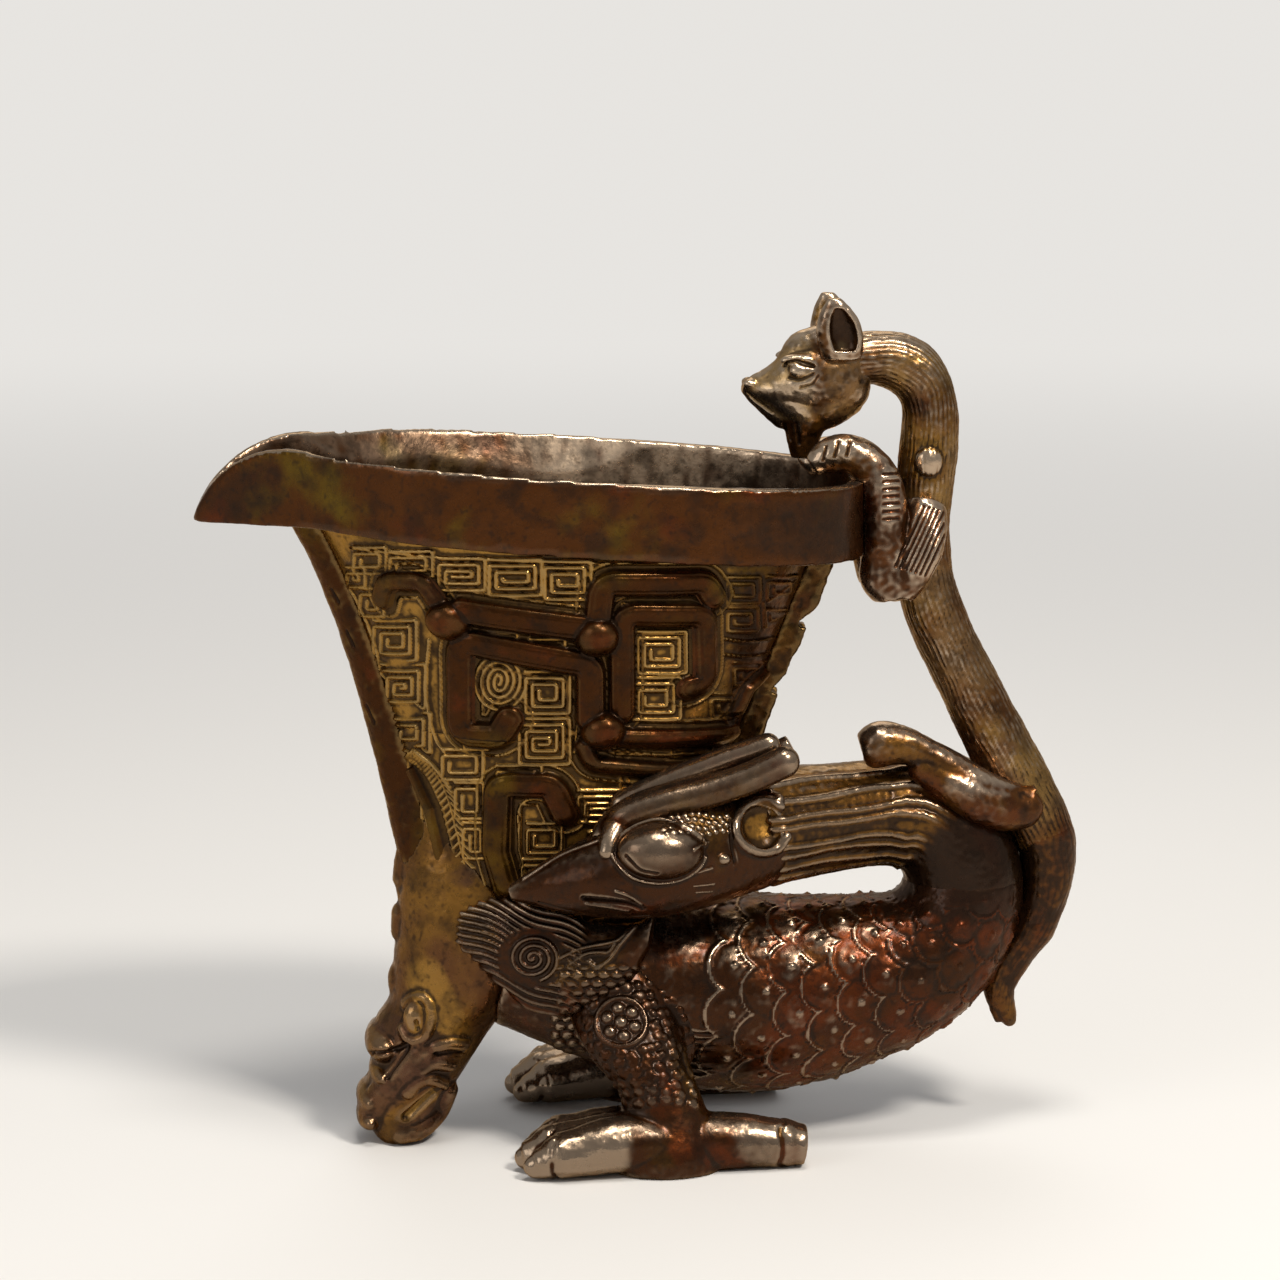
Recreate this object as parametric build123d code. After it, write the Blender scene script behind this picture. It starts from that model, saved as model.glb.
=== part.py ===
"""A bronze pouring cup: a horn carried by a bird, with a climbing beast as its handle.

Millimetres. +X runs from the spout to the handle, +Y away from the viewer, +Z up.
The origin lies on the floor, under the middle of the object.
"""
import math
import os
from build123d import *

# Horn of the cup
CUP_BASE_Z = 40.0
SHOULDER_Z = 104.4
BASE_FRONT_X = -35.0
BASE_REAR_X = 4.0
BASE_HALF_WIDTH = 9.5
SHOULDER_FRONT_X = -53.0
SHOULDER_REAR_X = 30.0
SHOULDER_HALF_WIDTH = 28.4
FRONT_FLARE = 0.25
WALL = 3.0
CUP_FLOOR = 6.0

# Lip band and spout
BAND_SLOPE = -0.07
BAND_HEIGHT = 12.7
BAND_PROUD = 1.7
BAND_REAR_OVERHANG = 7.7
LIP_WALL = 2.6
SPOUT_REACH = 20.6
SPOUT_ARC_ROOT = 18.6
SPOUT_FLOOR = 2.4
TONGUE_HEIGHT = 3.0
TONGUE_WALL = 1.4
FIT = 0.05

# Flanges
FRONT_FLANGE_PROUD = 4.5
FRONT_FLANGE_HALF_WIDTH = 5.5
REAR_FLANGE_PROUD = 4.6
REAR_FLANGE_HALF_WIDTH = 2.8
REAR_FLANGE_HOOKS = 3
REAR_FLANGE_FOOT_Z = 66.0

# Raised ornament on the sides of the horn
RELIEF_PROUD = 0.9
RELIEF_WIDTH = 4.2
RELIEF_BEND = 2.5
BOSS_RADIUS = 3.0
BOSS_PROUD = 2.5

# Bird
BELLY_Z = 8.3
BACK_Z = 41.0
BODY_HALF_WIDTH = 15.5
LOOP_X = 42.5
LOOP_Z = 44.2
BEND_OUTER = 23.7
BEND_INNER = 3.0
NECK_HEIGHT = 18.2
NECK_WIDTH = 17.6
HEAD_OFFSET = 18.0
BEAK_TIP_X = -22.8
BEAK_TIP_Z = 46.6
CREST_RADIUS = 2.5
LEG_X = 2.8
LEG_Y = 22.3
ANKLE_Z = 13.0
TOE_REACH = 24.0
TOE_RADIUS = 4.6
HEEL_REACH = 23.6

# Dragon's head
DRAGON_HALF_WIDTH = 11.4
CHIN_X = -42.0

# Beast
ARCH_TOP_Z = 138.8
GRIP_RADIUS = 5.1
NECK_RADIUS = 4.9
HIP_X = 65.2
HIP_Z = 61.0
TAIL_TIP_Z = 18.4
TAIL_REACH = 10.2
ARM_SPREAD = 7.3
FOREARM_RADIUS = 4.0
THROAT_RADIUS = 4.3
FAR_PAW_DROP = 2.0
EAR_HEIGHT = 11.0

# Dowels at the joints
DOWEL_RADIUS = 2.0
SMALL_DOWEL_RADIUS = 1.6
DOWEL_DEPTH = 6.0

# Shape of the plan outlines
OVAL_POWER = 2.6
OVAL_POINTS = 32
SPOUT_FOCUS = 10
SPOUT_PINCH = 0.62
BIG = 200.0


def blend(low, high, share):
    return low + (high - low) * share


def shoulder_z(x):
    """Height of the seam under the lip band, which rises towards the spout."""
    return SHOULDER_Z + BAND_SLOPE * x


def lip_z(x):
    return shoulder_z(x) + BAND_HEIGHT


def band_plan(front, rear, half_width, spout):
    """A rounded oblong drawn out to a spout at its front."""
    centre = (front + rear) / 2
    reach = (rear - front) / 2
    points = []
    for step in range(OVAL_POINTS):
        turn = 2 * math.pi * step / OVAL_POINTS
        along = math.cos(turn)
        across = math.sin(turn)
        nose = max(0.0, -along) ** SPOUT_FOCUS
        x = centre + reach * math.copysign(abs(along) ** (2 / OVAL_POWER), along) - spout * nose
        y = half_width * math.copysign(abs(across) ** (2 / OVAL_POWER), across) * (1 - SPOUT_PINCH * nose)
        points.append((x, y))
    return make_face(Spline(*points, periodic=True))


def round_section(z, front, rear, half_width):
    """An ellipse at one height, between a front and a rear end."""
    return Pos((front + rear) / 2, 0, z) * Ellipse((rear - front) / 2, half_width)


def horn_rise(z):
    return (z - CUP_BASE_Z) / (SHOULDER_Z - CUP_BASE_Z)


def horn_front(z):
    rise = horn_rise(z)
    return blend(BASE_FRONT_X, SHOULDER_FRONT_X, (1 - FRONT_FLARE) * rise + FRONT_FLARE * rise**4)


def horn_rear(z):
    return blend(BASE_REAR_X, SHOULDER_REAR_X, horn_rise(z))


def horn_half(z):
    return blend(BASE_HALF_WIDTH, SHOULDER_HALF_WIDTH, horn_rise(z))


def horn(low, high, inset=0.0, levels=6):
    """The horn between two heights, drawn in all round by the inset."""
    sections = []
    for level in range(levels):
        z = blend(low, high, level / (levels - 1))
        sections.append(round_section(z, horn_front(z) + inset, horn_rear(z) - inset, horn_half(z) - inset))
    return loft(sections)


def limb(stations):
    """A cast limb through stations of centre, direction, half width and half height."""
    sections = []
    for centre, direction, half_width, half_height in stations:
        plane = Plane(origin=centre, x_dir=(0, 1, 0), z_dir=direction)
        sections.append(plane * Ellipse(half_width, half_height))
    return loft(sections)


def chain(points):
    """Stations of a limb along a centre line of x, y, z and one radius each."""
    centres = [Vector(*point[:3]) for point in points]
    stations = []
    for index, point in enumerate(points):
        before = centres[max(index - 1, 0)]
        after = centres[min(index + 1, len(points) - 1)]
        stations.append((centres[index], after - before, point[3], point[3]))
    return stations


def side_slab(outline):
    """A side-view outline carried right across the object."""
    return extrude(Plane.XZ * outline, amount=BIG, both=True)


def half_space_above(slack=0.0):
    """Everything above the seam under the lip band."""
    far = BIG
    low_left = (-far, shoulder_z(-far) + slack)
    low_right = (far, shoulder_z(far) + slack)
    outline = make_face(Polyline(low_left, low_right, (far, far + BIG), (-far, far + BIG), close=True))
    return side_slab(outline)


def dowel(centre, direction, radius=DOWEL_RADIUS, depth=DOWEL_DEPTH):
    """A pin that reaches equally deep into both sides of a joint."""
    return Plane(origin=centre, z_dir=direction) * Cylinder(radius, 2 * depth)


def dowel_hole(centre, direction, radius=DOWEL_RADIUS, depth=DOWEL_DEPTH):
    return dowel(centre, direction, radius + FIT, depth + FIT)


def mirrored(shape):
    return mirror(shape, about=Plane.XZ)


def largest(shape):
    """The piece itself, without what a cut leaves on the other side of its neighbour."""
    return shape.solids().sort_by(SortBy.VOLUME)[-1]


# Cup: the patterned wall, its cavity and the seam that carries the lip band
band_front = SHOULDER_FRONT_X - BAND_PROUD
band_rear = SHOULDER_REAR_X + BAND_REAR_OVERHANG
band_half = SHOULDER_HALF_WIDTH + BAND_PROUD
spout_tip_x = band_front - SPOUT_REACH
horn_top = shoulder_z(band_front) + TONGUE_HEIGHT + 1.0
cavity_floor = CUP_BASE_Z + CUP_FLOOR

horn_solid = horn(CUP_BASE_Z, horn_top, levels=7)
horn_cavity = horn(cavity_floor, lip_z(spout_tip_x) + 4.0, WALL, levels=8)
above_seam = half_space_above()


def seam_ring(inset, height):
    """The tongue that stands on the wall's top edge, inside the lip band."""
    low = shoulder_z(band_rear)
    plan = round_section(low - 1.0, horn_front(SHOULDER_Z) + inset, horn_rear(low) - inset, horn_half(low) - inset)
    return extrude(plan, amount=horn_top + 10.0 - low) - half_space_above(height)


dragon_joint = ((BASE_FRONT_X + 8.0, 0, CUP_BASE_Z), (0, 0, 1))
body_joint = ((BASE_REAR_X - 12.0, 0, CUP_BASE_Z), (0, 0, 1))
floor_dowel_depth = CUP_FLOOR - 2.0
tongue = seam_ring(WALL - TONGUE_WALL, TONGUE_HEIGHT) & above_seam
cup_wall = (horn_solid - above_seam) + tongue - horn_cavity
for joint in (dragon_joint, body_joint):
    cup_wall -= dowel_hole(*joint, depth=floor_dowel_depth)

# Lip band: a ring whose front is drawn out to the spout
tip_z = shoulder_z(band_front) - 0.6
arc_root_x = spout_tip_x + SPOUT_ARC_ROOT
lip_arc = TangentArc((arc_root_x, lip_z(arc_root_x)), (spout_tip_x, tip_z), tangent=(-1, -BAND_SLOPE))
past_rear = band_rear + 10.0
band_edges = [
    Polyline((spout_tip_x, tip_z), (band_front, shoulder_z(band_front)),
             (past_rear, shoulder_z(past_rear)), (past_rear, lip_z(past_rear)),
             (arc_root_x, lip_z(arc_root_x))),
    lip_arc,
]
band_profile = side_slab(make_face(band_edges))
band_outer = extrude(band_plan(band_front, band_rear, band_half, SPOUT_REACH), amount=BIG)
mouth_plan = band_plan(band_front + LIP_WALL, band_rear - LIP_WALL, band_half - LIP_WALL,
                       SPOUT_REACH - LIP_WALL / 2)
mouth = extrude(mouth_plan, amount=BIG) & half_space_above(SPOUT_FLOOR)
groove = seam_ring(WALL - TONGUE_WALL - FIT, TONGUE_HEIGHT + FIT)
rim_band = (band_outer & band_profile) - mouth - horn_cavity - groove

# Flanges on the front and the back of the horn
front_sections = []
for level in range(7):
    z = blend(CUP_BASE_Z + 8.0, shoulder_z(band_front) + 2.0, level / 6)
    front_sections.append(round_section(z, horn_front(z) - FRONT_FLANGE_PROUD,
                                        horn_front(z) + 2 * FRONT_FLANGE_PROUD, FRONT_FLANGE_HALF_WIDTH))
front_flange = loft(front_sections) - horn_solid - rim_band - above_seam

hook_top = shoulder_z(SHOULDER_REAR_X) - 2.0
hook_step = (hook_top - REAR_FLANGE_FOOT_Z) / REAR_FLANGE_HOOKS
hook_points = [(horn_rear(hook_top) - WALL, hook_top)]
for hook in range(REAR_FLANGE_HOOKS):
    top = hook_top - hook * hook_step
    notch = top - 0.72 * hook_step
    foot = top - hook_step
    hook_points.append((horn_rear(top) + REAR_FLANGE_PROUD, top))
    hook_points.append((horn_rear(notch) + REAR_FLANGE_PROUD, notch))
    hook_points.append((horn_rear(foot) + 0.6 * REAR_FLANGE_PROUD, foot))
hook_points.append((horn_rear(REAR_FLANGE_FOOT_Z) - WALL, REAR_FLANGE_FOOT_Z))
hook_plate = extrude(Plane.XZ * make_face(Polyline(*hook_points, close=True)),
                     amount=REAR_FLANGE_HALF_WIDTH, both=True)
rear_flange = hook_plate - horn_solid

# Dragon's head under the front of the horn, flat where its chin meets the floor
dragon_sections = []
for rise, front, rear, share in (
    (1.42, 2.0, 22.0, 0.72),
    (1.25, 1.2, 24.0, 0.84),
    (1.08, 0.6, 25.0, 0.94),
    (0.91, 0.2, 24.6, 1.0),
    (0.75, -0.6, 23.0, 1.0),
    (0.60, -1.6, 20.0, 0.97),
    (0.46, -4.3, 15.6, 0.92),
    (0.33, -4.6, 12.4, 0.84),
    (0.20, -6.0, 9.0, 0.75),
    (0.08, -5.6, 6.4, 0.66),
    (0.0, -3.6, 3.6, 0.5),
):
    dragon_sections.append(round_section(rise * CUP_BASE_Z, CHIN_X + front, CHIN_X + rear,
                                         share * DRAGON_HALF_WIDTH))
dragon_solid = loft(dragon_sections)
dragon_head = dragon_solid - horn_solid - front_flange
dragon_head -= dowel_hole(*dragon_joint, depth=floor_dowel_depth)

# Bird's body: breast under the horn, belly, and the scaly rear that turns up to the neck
body_mid_z = (BELLY_Z + BACK_Z) / 2
body_half_height = (BACK_Z - BELLY_Z) / 2


def bend_station(turn):
    """A station that fans round the loop between body and neck, at a turn in degrees."""
    angle = math.radians(turn)
    low_share = max(0.0, -turn / 80)
    high_share = max(0.0, turn / 90)
    outer = BEND_OUTER * (1 + 0.23 * low_share**2 - 0.13 * high_share)
    half_width = blend(0.6 * NECK_WIDTH, 0.85 * BODY_HALF_WIDTH, low_share) - 0.07 * NECK_WIDTH * high_share
    reach = (BEND_INNER + outer) / 2
    centre = (LOOP_X + reach * math.cos(angle), 0, LOOP_Z + reach * math.sin(angle))
    return (centre, (-math.sin(angle), 0, math.cos(angle)), half_width, (outer - BEND_INNER) / 2)


belly_stations = [
    ((BASE_FRONT_X + 12.0, 0, body_mid_z + 8.0), (1, 0, -0.3), 0.74 * BODY_HALF_WIDTH, 0.76 * body_half_height),
    ((BASE_REAR_X - 14.0, 0, body_mid_z + 4.6), (1, 0, -0.22), 0.96 * BODY_HALF_WIDTH, 0.9 * body_half_height),
    ((LEG_X + 5.0, 0, body_mid_z + 0.8), (1, 0, -0.06), 1.02 * BODY_HALF_WIDTH, 1.03 * body_half_height),
    ((LOOP_X - 15.5, 0, body_mid_z), (1, 0, 0.03), 0.96 * BODY_HALF_WIDTH, body_half_height),
    bend_station(-80),
]
neck_joint = (bend_station(0)[0], (0, 0, 1))
body_solid = limb(belly_stations) + limb([bend_station(turn) for turn in (-80, -60, -40, -20, 0)])
bird_body = body_solid - horn_solid - dragon_solid
bird_body -= dowel_hole(*body_joint, depth=floor_dowel_depth)
bird_body -= dowel_hole(*neck_joint)

# Neck: back over the loop, drifting to the near side of the cup
head_root = (LOOP_X - 22.5, -0.55 * HEAD_OFFSET, LOOP_Z + 11.6)
head_aim = (-1, -0.4, -0.12)
neck_top = bend_station(90)
neck_middle = (LOOP_X - 9.5, -0.2 * HEAD_OFFSET, neck_top[0][2] + 0.1)
neck_stations = [
    neck_top,
    (neck_middle, (-1, -0.35, -0.03), 0.5 * NECK_WIDTH, 0.5 * NECK_HEIGHT),
    (head_root, head_aim, 0.49 * NECK_WIDTH, 0.54 * NECK_HEIGHT),
]
head_joint = (head_root, head_aim)
neck_solid = limb([bend_station(turn) for turn in (0, 30, 60, 90)]) + limb(neck_stations)
bird_neck = neck_solid - dowel_hole(*neck_joint)
bird_neck -= dowel_hole(*head_joint)

# Head and beak against the near wall of the horn
head_drop = head_root[2] - BEAK_TIP_Z
head_length = head_root[0] - BEAK_TIP_X
head_stations = [(head_root, head_aim, 0.49 * NECK_WIDTH, 0.54 * NECK_HEIGHT)]
for along, side, drop, half_width, half_height in (
    (0.21, 0.80, 0.19, 0.53, 0.55),
    (0.41, 0.97, 0.38, 0.53, 0.53),
    (0.58, 1.02, 0.60, 0.47, 0.44),
    (0.75, 1.00, 0.76, 0.36, 0.32),
    (0.89, 0.95, 0.89, 0.22, 0.19),
    (1.00, 0.90, 1.00, 0.08, 0.07),
):
    centre = (head_root[0] - along * head_length, -side * HEAD_OFFSET, head_root[2] - drop * head_drop)
    head_stations.append((centre, (-1, -0.3 * (1 - 2 * along), -0.3), half_width * NECK_WIDTH,
                          half_height * NECK_HEIGHT))
bird_head = limb(head_stations) - horn_solid
bird_head -= dowel_hole(*head_joint)

# Two plumes that sweep back from the bird's brow
crest_z = head_root[2] + 0.5 * NECK_HEIGHT


def crest(side, lift):
    points = (
        (head_root[0] - 0.66 * head_length, side + 1.0, crest_z - 10.0 + lift, 0.8 * CREST_RADIUS),
        (head_root[0] - 0.52 * head_length, side, crest_z - 4.2 + lift, 1.1 * CREST_RADIUS),
        (head_root[0] - 0.28 * head_length, side, crest_z - 1.2 + lift, 1.1 * CREST_RADIUS),
        (head_root[0] - 0.06 * head_length, side + 0.5, crest_z + 1.2 + lift, CREST_RADIUS),
        (head_root[0] + 0.10 * head_length, side, crest_z + 5.2 + lift, 0.6 * CREST_RADIUS),
    )
    return limb(chain(points)) - horn_solid - bird_head - bird_neck


crest_near = crest(-1.08 * HEAD_OFFSET, 0.3)
crest_far = crest(-0.76 * HEAD_OFFSET, 0.9) - crest_near

# Legs: one casting each of thigh, shank and toed foot, with flat soles
hip_joint = ((LEG_X - 5.0, -0.8 * BODY_HALF_WIDTH, ANKLE_Z + 10.0), (0, 1, 0))


def tapered(root, middle, tip):
    return limb(chain((root, middle, tip)))


def bird_leg():
    shank = loft([
        Pos(LEG_X - 7.4, -0.36 * LEG_Y, ANKLE_Z + 22.0) * Ellipse(4.5, 4.0),
        Pos(LEG_X - 7.0, -0.43 * LEG_Y, ANKLE_Z + 19.0) * Ellipse(7.6, 6.4),
        Pos(LEG_X - 6.6, -0.5 * LEG_Y, ANKLE_Z + 15.0) * Ellipse(9.0, 7.5),
        Pos(LEG_X - 5.2, -0.76 * LEG_Y, ANKLE_Z + 7.5) * Ellipse(8.6, 6.6),
        Pos(LEG_X - 1.0, -0.92 * LEG_Y, ANKLE_Z) * Ellipse(6.8, 5.4),
        Pos(LEG_X, -LEG_Y, 0.5 * ANKLE_Z) * Ellipse(8.2, 6.2),
        Pos(LEG_X, -LEG_Y, 0) * Ellipse(9.2, 6.8),
    ])
    foot = shank
    for spread in (-4.6, 0.0, 4.6):
        toe = tapered((LEG_X, -LEG_Y + 0.4 * spread, 1.1 * TOE_RADIUS, TOE_RADIUS),
                      (LEG_X - 0.6 * TOE_REACH, -LEG_Y + 0.9 * spread, TOE_RADIUS, 0.9 * TOE_RADIUS),
                      (LEG_X - TOE_REACH + 0.4 * abs(spread), -LEG_Y + 1.15 * spread, 2.6, 0.5 * TOE_RADIUS))
        foot += toe
    foot += tapered((LEG_X, -LEG_Y, 4.6, 5.0), (LEG_X + 0.6 * HEEL_REACH, -LEG_Y, 4.4, 4.6),
                    (LEG_X + HEEL_REACH, -LEG_Y, 3.6, 3.4))
    return foot & (Pos(0, 0, BIG / 2) * Box(BIG, BIG, BIG))


leg_solid = bird_leg()
leg_near = leg_solid - body_solid - dowel_hole(*hip_joint)
leg_far = mirrored(leg_near)
hip_pin = dowel(*hip_joint)
bird_body -= dowel_hole(*hip_joint)
bird_body -= mirrored(dowel_hole(*hip_joint))

# Wings: low lenses on the shoulders
wing_x = BASE_FRONT_X + 4.0
wing_points = (
    (wing_x, -0.60 * BODY_HALF_WIDTH, BACK_Z - 2.0, 3.0, 3.6),
    (wing_x + 7.0, -0.70 * BODY_HALF_WIDTH, BACK_Z - 4.0, 4.4, 7.2),
    (wing_x + 16.0, -0.86 * BODY_HALF_WIDTH, BACK_Z - 7.5, 4.6, 8.8),
    (wing_x + 25.0, -0.95 * BODY_HALF_WIDTH, BACK_Z - 7.0, 4.0, 6.6),
    (wing_x + 32.0, -0.98 * BODY_HALF_WIDTH, BACK_Z - 1.6, 2.6, 3.2),
)
wing_stations = [(point[:3], (1, -0.2, -0.1), point[3], point[4]) for point in wing_points]
wing_solid = limb(wing_stations)
wing_near = wing_solid - horn_solid - dragon_solid - body_solid - leg_solid
wing_far = mirrored(wing_near)

# Beast: arched neck and back, which is the grip of the handle
rim_z = lip_z(band_rear)
arch_z = ARCH_TOP_Z - NECK_RADIUS
arch_x = band_rear + 4.8
beast_head_joint = ((arch_x - 6.0, 0, arch_z - 0.3), (1, 0, 0.12))
tail_joint = ((HIP_X + 4.2, 0, HIP_Z - 9.0), (0.3, 0, -1))
back_drop = rim_z - HIP_Z
spine_stations = [
    (*beast_head_joint, NECK_RADIUS, NECK_RADIUS),
    ((arch_x, 0, arch_z), (1, 0, -0.3), NECK_RADIUS, NECK_RADIUS),
    ((arch_x + 5.3, 0, arch_z - 3.8), (0.65, 0, -0.76), NECK_RADIUS, NECK_RADIUS),
    ((arch_x + 6.7, 0, arch_z - 11.0), (0.03, 0, -1), NECK_RADIUS, NECK_RADIUS),
    ((band_rear + 10.9, 0, rim_z - 1.0), (-0.06, 0, -1), NECK_RADIUS, NECK_RADIUS),
    ((band_rear + 10.2, 0, rim_z - 0.18 * back_drop), (0.0, 0, -1), NECK_RADIUS, NECK_RADIUS),
    ((band_rear + 12.0, 0, rim_z - 0.41 * back_drop), (0.26, 0, -1), GRIP_RADIUS, GRIP_RADIUS),
    ((blend(band_rear + 12.6, HIP_X, 0.28), 0, rim_z - 0.61 * back_drop), (0.45, 0, -1), GRIP_RADIUS, GRIP_RADIUS),
    ((blend(band_rear + 12.6, HIP_X, 0.64), 0, rim_z - 0.81 * back_drop), (0.52, 0, -1),
     1.06 * GRIP_RADIUS, 1.06 * GRIP_RADIUS),
    ((HIP_X, 0, HIP_Z), (0.48, 0, -1), 1.1 * GRIP_RADIUS, 1.1 * GRIP_RADIUS),
    (*tail_joint, 1.06 * GRIP_RADIUS, 1.06 * GRIP_RADIUS),
]
hip_aim = (HIP_X - LOOP_X, 0, HIP_Z - LOOP_Z)
hip_seat = ((HIP_X - 4.6, 0, HIP_Z - 2.4), hip_aim)
beast_body = limb(spine_stations) - bird_neck
beast_body -= dowel_hole(*hip_seat, radius=SMALL_DOWEL_RADIUS)
bird_neck -= dowel_hole(*hip_seat, radius=SMALL_DOWEL_RADIUS)
beast_body -= dowel_hole(*tail_joint, radius=SMALL_DOWEL_RADIUS, depth=0.8 * DOWEL_DEPTH)
beast_body -= dowel_hole(*beast_head_joint, radius=SMALL_DOWEL_RADIUS, depth=0.8 * DOWEL_DEPTH)

tail_stations = [
    (*tail_joint, 1.06 * GRIP_RADIUS, 1.06 * GRIP_RADIUS),
    ((HIP_X + 0.53 * TAIL_REACH, 0, blend(tail_joint[0][2], TAIL_TIP_Z, 0.24)), (-0.1, 0, -1), 4.5, 4.5),
    ((HIP_X + 0.26 * TAIL_REACH, 0, blend(tail_joint[0][2], TAIL_TIP_Z, 0.50)), (-0.45, 0, -1), 3.6, 3.6),
    ((HIP_X - 0.10 * TAIL_REACH, 0, blend(tail_joint[0][2], TAIL_TIP_Z, 0.72)), (-0.4, 0, -1), 2.7, 2.7),
    ((HIP_X - 0.25 * TAIL_REACH, 0, blend(tail_joint[0][2], TAIL_TIP_Z, 0.87)), (-0.1, 0, -1), 2.0, 2.0),
    ((HIP_X - 0.22 * TAIL_REACH, 0, TAIL_TIP_Z), (0.3, 0, -1), 1.1, 1.1),
]
beast_tail = limb(tail_stations) - bird_neck - bird_body
beast_tail -= dowel_hole(*tail_joint, radius=SMALL_DOWEL_RADIUS, depth=0.8 * DOWEL_DEPTH)

# Arms: upper arm down to the elbow, forearm up the band, paw over the lip


def beast_arm(drop):
    elbow_x = band_rear + 4.9
    elbow_z = rim_z - 19.2 + drop
    upper = limb(chain((
        (band_rear + 10.6, -0.5 * ARM_SPREAD, rim_z - 4.5, 3.4),
        (band_rear + 8.8, -0.95 * ARM_SPREAD, rim_z - 12.0, 4.0),
        (elbow_x, -ARM_SPREAD, elbow_z, 3.3),
    )))
    fore = limb(chain((
        (elbow_x - 0.6, -ARM_SPREAD, elbow_z - 1.0, 2.9),
        (band_rear + 3.0, -ARM_SPREAD, rim_z - 11.0, FOREARM_RADIUS),
        (band_rear + 2.6, -ARM_SPREAD, rim_z - 3.5, FOREARM_RADIUS),
        (band_rear + 0.7, -ARM_SPREAD, rim_z + 2.0 - drop, 3.5),
        (band_rear - 2.9, -0.95 * ARM_SPREAD, rim_z + 4.5 - drop, 3.2),
        (band_rear - 7.2, -0.9 * ARM_SPREAD, rim_z + 3.9 - drop, 2.8),
        (band_rear - 9.2, -0.88 * ARM_SPREAD, rim_z + 2.4 - drop, 1.8),
    )))
    return upper + fore


beast_arm_near = beast_arm(0.0) - rim_band - horn_solid - beast_body
beast_arm_far = mirrored(beast_arm(FAR_PAW_DROP)) - rim_band - horn_solid - beast_body

# Head with its beard between the paws
snout_x = band_rear - 19.4
skull = limb((
    (*beast_head_joint, NECK_RADIUS, NECK_RADIUS),
    ((arch_x - 11.4, 0, arch_z - 2.7), (1, 0, 0.2), 6.0, 6.6),
    ((arch_x - 16.4, 0, arch_z - 3.7), (1, 0, 0.1), 5.3, 6.1),
    ((arch_x - 20.6, 0, arch_z - 4.6), (1, 0, 0.1), 3.4, 3.2),
    ((snout_x, 0, arch_z - 4.8), (1, 0, 0.0), 1.5, 1.1),
))
beard = limb(chain((
    (arch_x - 16.2, 0, arch_z - 6.0, THROAT_RADIUS),
    (arch_x - 14.6, 0, arch_z - 9.0, 0.95 * THROAT_RADIUS),
    (arch_x - 14.8, 0, rim_z + 6.6, 0.7 * THROAT_RADIUS),
    (arch_x - 14.8, 0, rim_z + 3.0, 0.5 * THROAT_RADIUS),
)))
throat = limb(chain((
    (arch_x - 15.6, 0, arch_z - 8.0, THROAT_RADIUS),
    (arch_x - 11.6, 0, arch_z - 7.4, THROAT_RADIUS),
    (arch_x - 7.4, 0, arch_z - 4.6, THROAT_RADIUS),
)))
ear_x = arch_x - 9.0


def ear(side):
    shell = loft([
        Pos(ear_x, side * 4.2, arch_z + 0.6) * Ellipse(3.4, 2.1),
        Pos(ear_x - 0.4, side * 4.7, arch_z + 0.5 * EAR_HEIGHT) * Ellipse(3.9, 2.1),
        Pos(ear_x - 1.4, side * 5.0, arch_z + EAR_HEIGHT) * Ellipse(1.0, 0.8),
    ])
    scoop = loft([
        Pos(ear_x + 0.5, side * 6.4, arch_z + 2.2) * Ellipse(1.8, 1.7),
        Pos(ear_x + 0.2, side * 6.8, arch_z + 0.5 * EAR_HEIGHT) * Ellipse(2.5, 2.2),
        Pos(ear_x - 0.6, side * 6.6, arch_z + 0.85 * EAR_HEIGHT) * Ellipse(1.0, 0.9),
    ])
    return shell - scoop - skull - beast_body


beast_ear_near = ear(-1)
beast_ear_far = ear(1)
beast_head = skull + (beard - beast_arm_near - beast_arm_far) + (throat - beast_body)
beast_head -= dowel_hole(*beast_head_joint, radius=SMALL_DOWEL_RADIUS, depth=0.8 * DOWEL_DEPTH)

# Hind legs: from the hip along the bird's neck, the far paw lower on its far side


def hind_leg(side, points):
    placed = [(x, side * y, z, radius) for x, y, z, radius in points]
    return largest(limb(chain(placed)) - beast_body - bird_neck - beast_tail)


neck_crown = LOOP_Z + BEND_INNER + NECK_HEIGHT
beast_hind_leg_near = hind_leg(-1, (
    (HIP_X + 0.8, 4.0, HIP_Z - 2.5, 3.7),
    (HIP_X - 7.2, 6.6, HIP_Z, 3.4),
    (HIP_X - 14.0, 6.9, neck_crown, 3.1),
    (HIP_X - 19.2, 6.7, neck_crown + 3.0, 3.0),
    (HIP_X - 24.6, 6.3, neck_crown + 3.7, 4.0),
    (HIP_X - 28.0, 6.1, neck_crown + 2.8, 2.6),
))
beast_hind_leg_far = hind_leg(1, (
    (HIP_X + 0.8, 4.0, HIP_Z - 2.5, 3.7),
    (HIP_X - 7.2, 7.5, HIP_Z - 1.5, 3.4),
    (HIP_X - 15.0, 8.6, neck_crown - 4.0, 3.0),
    (HIP_X - 22.0, 7.0, neck_crown - 2.0, 3.6),
    (HIP_X - 25.4, 6.4, neck_crown - 2.4, 2.5),
))

# Raised ornament of the wall: hooked bands and bosses, placed by shares of the horn's length and height


def on_side(along, rise):
    """X and Z of a place on the side of the horn."""
    z = blend(CUP_BASE_Z, SHOULDER_Z, rise)
    return (blend(horn_front(z), horn_rear(z), along), z)


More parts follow.
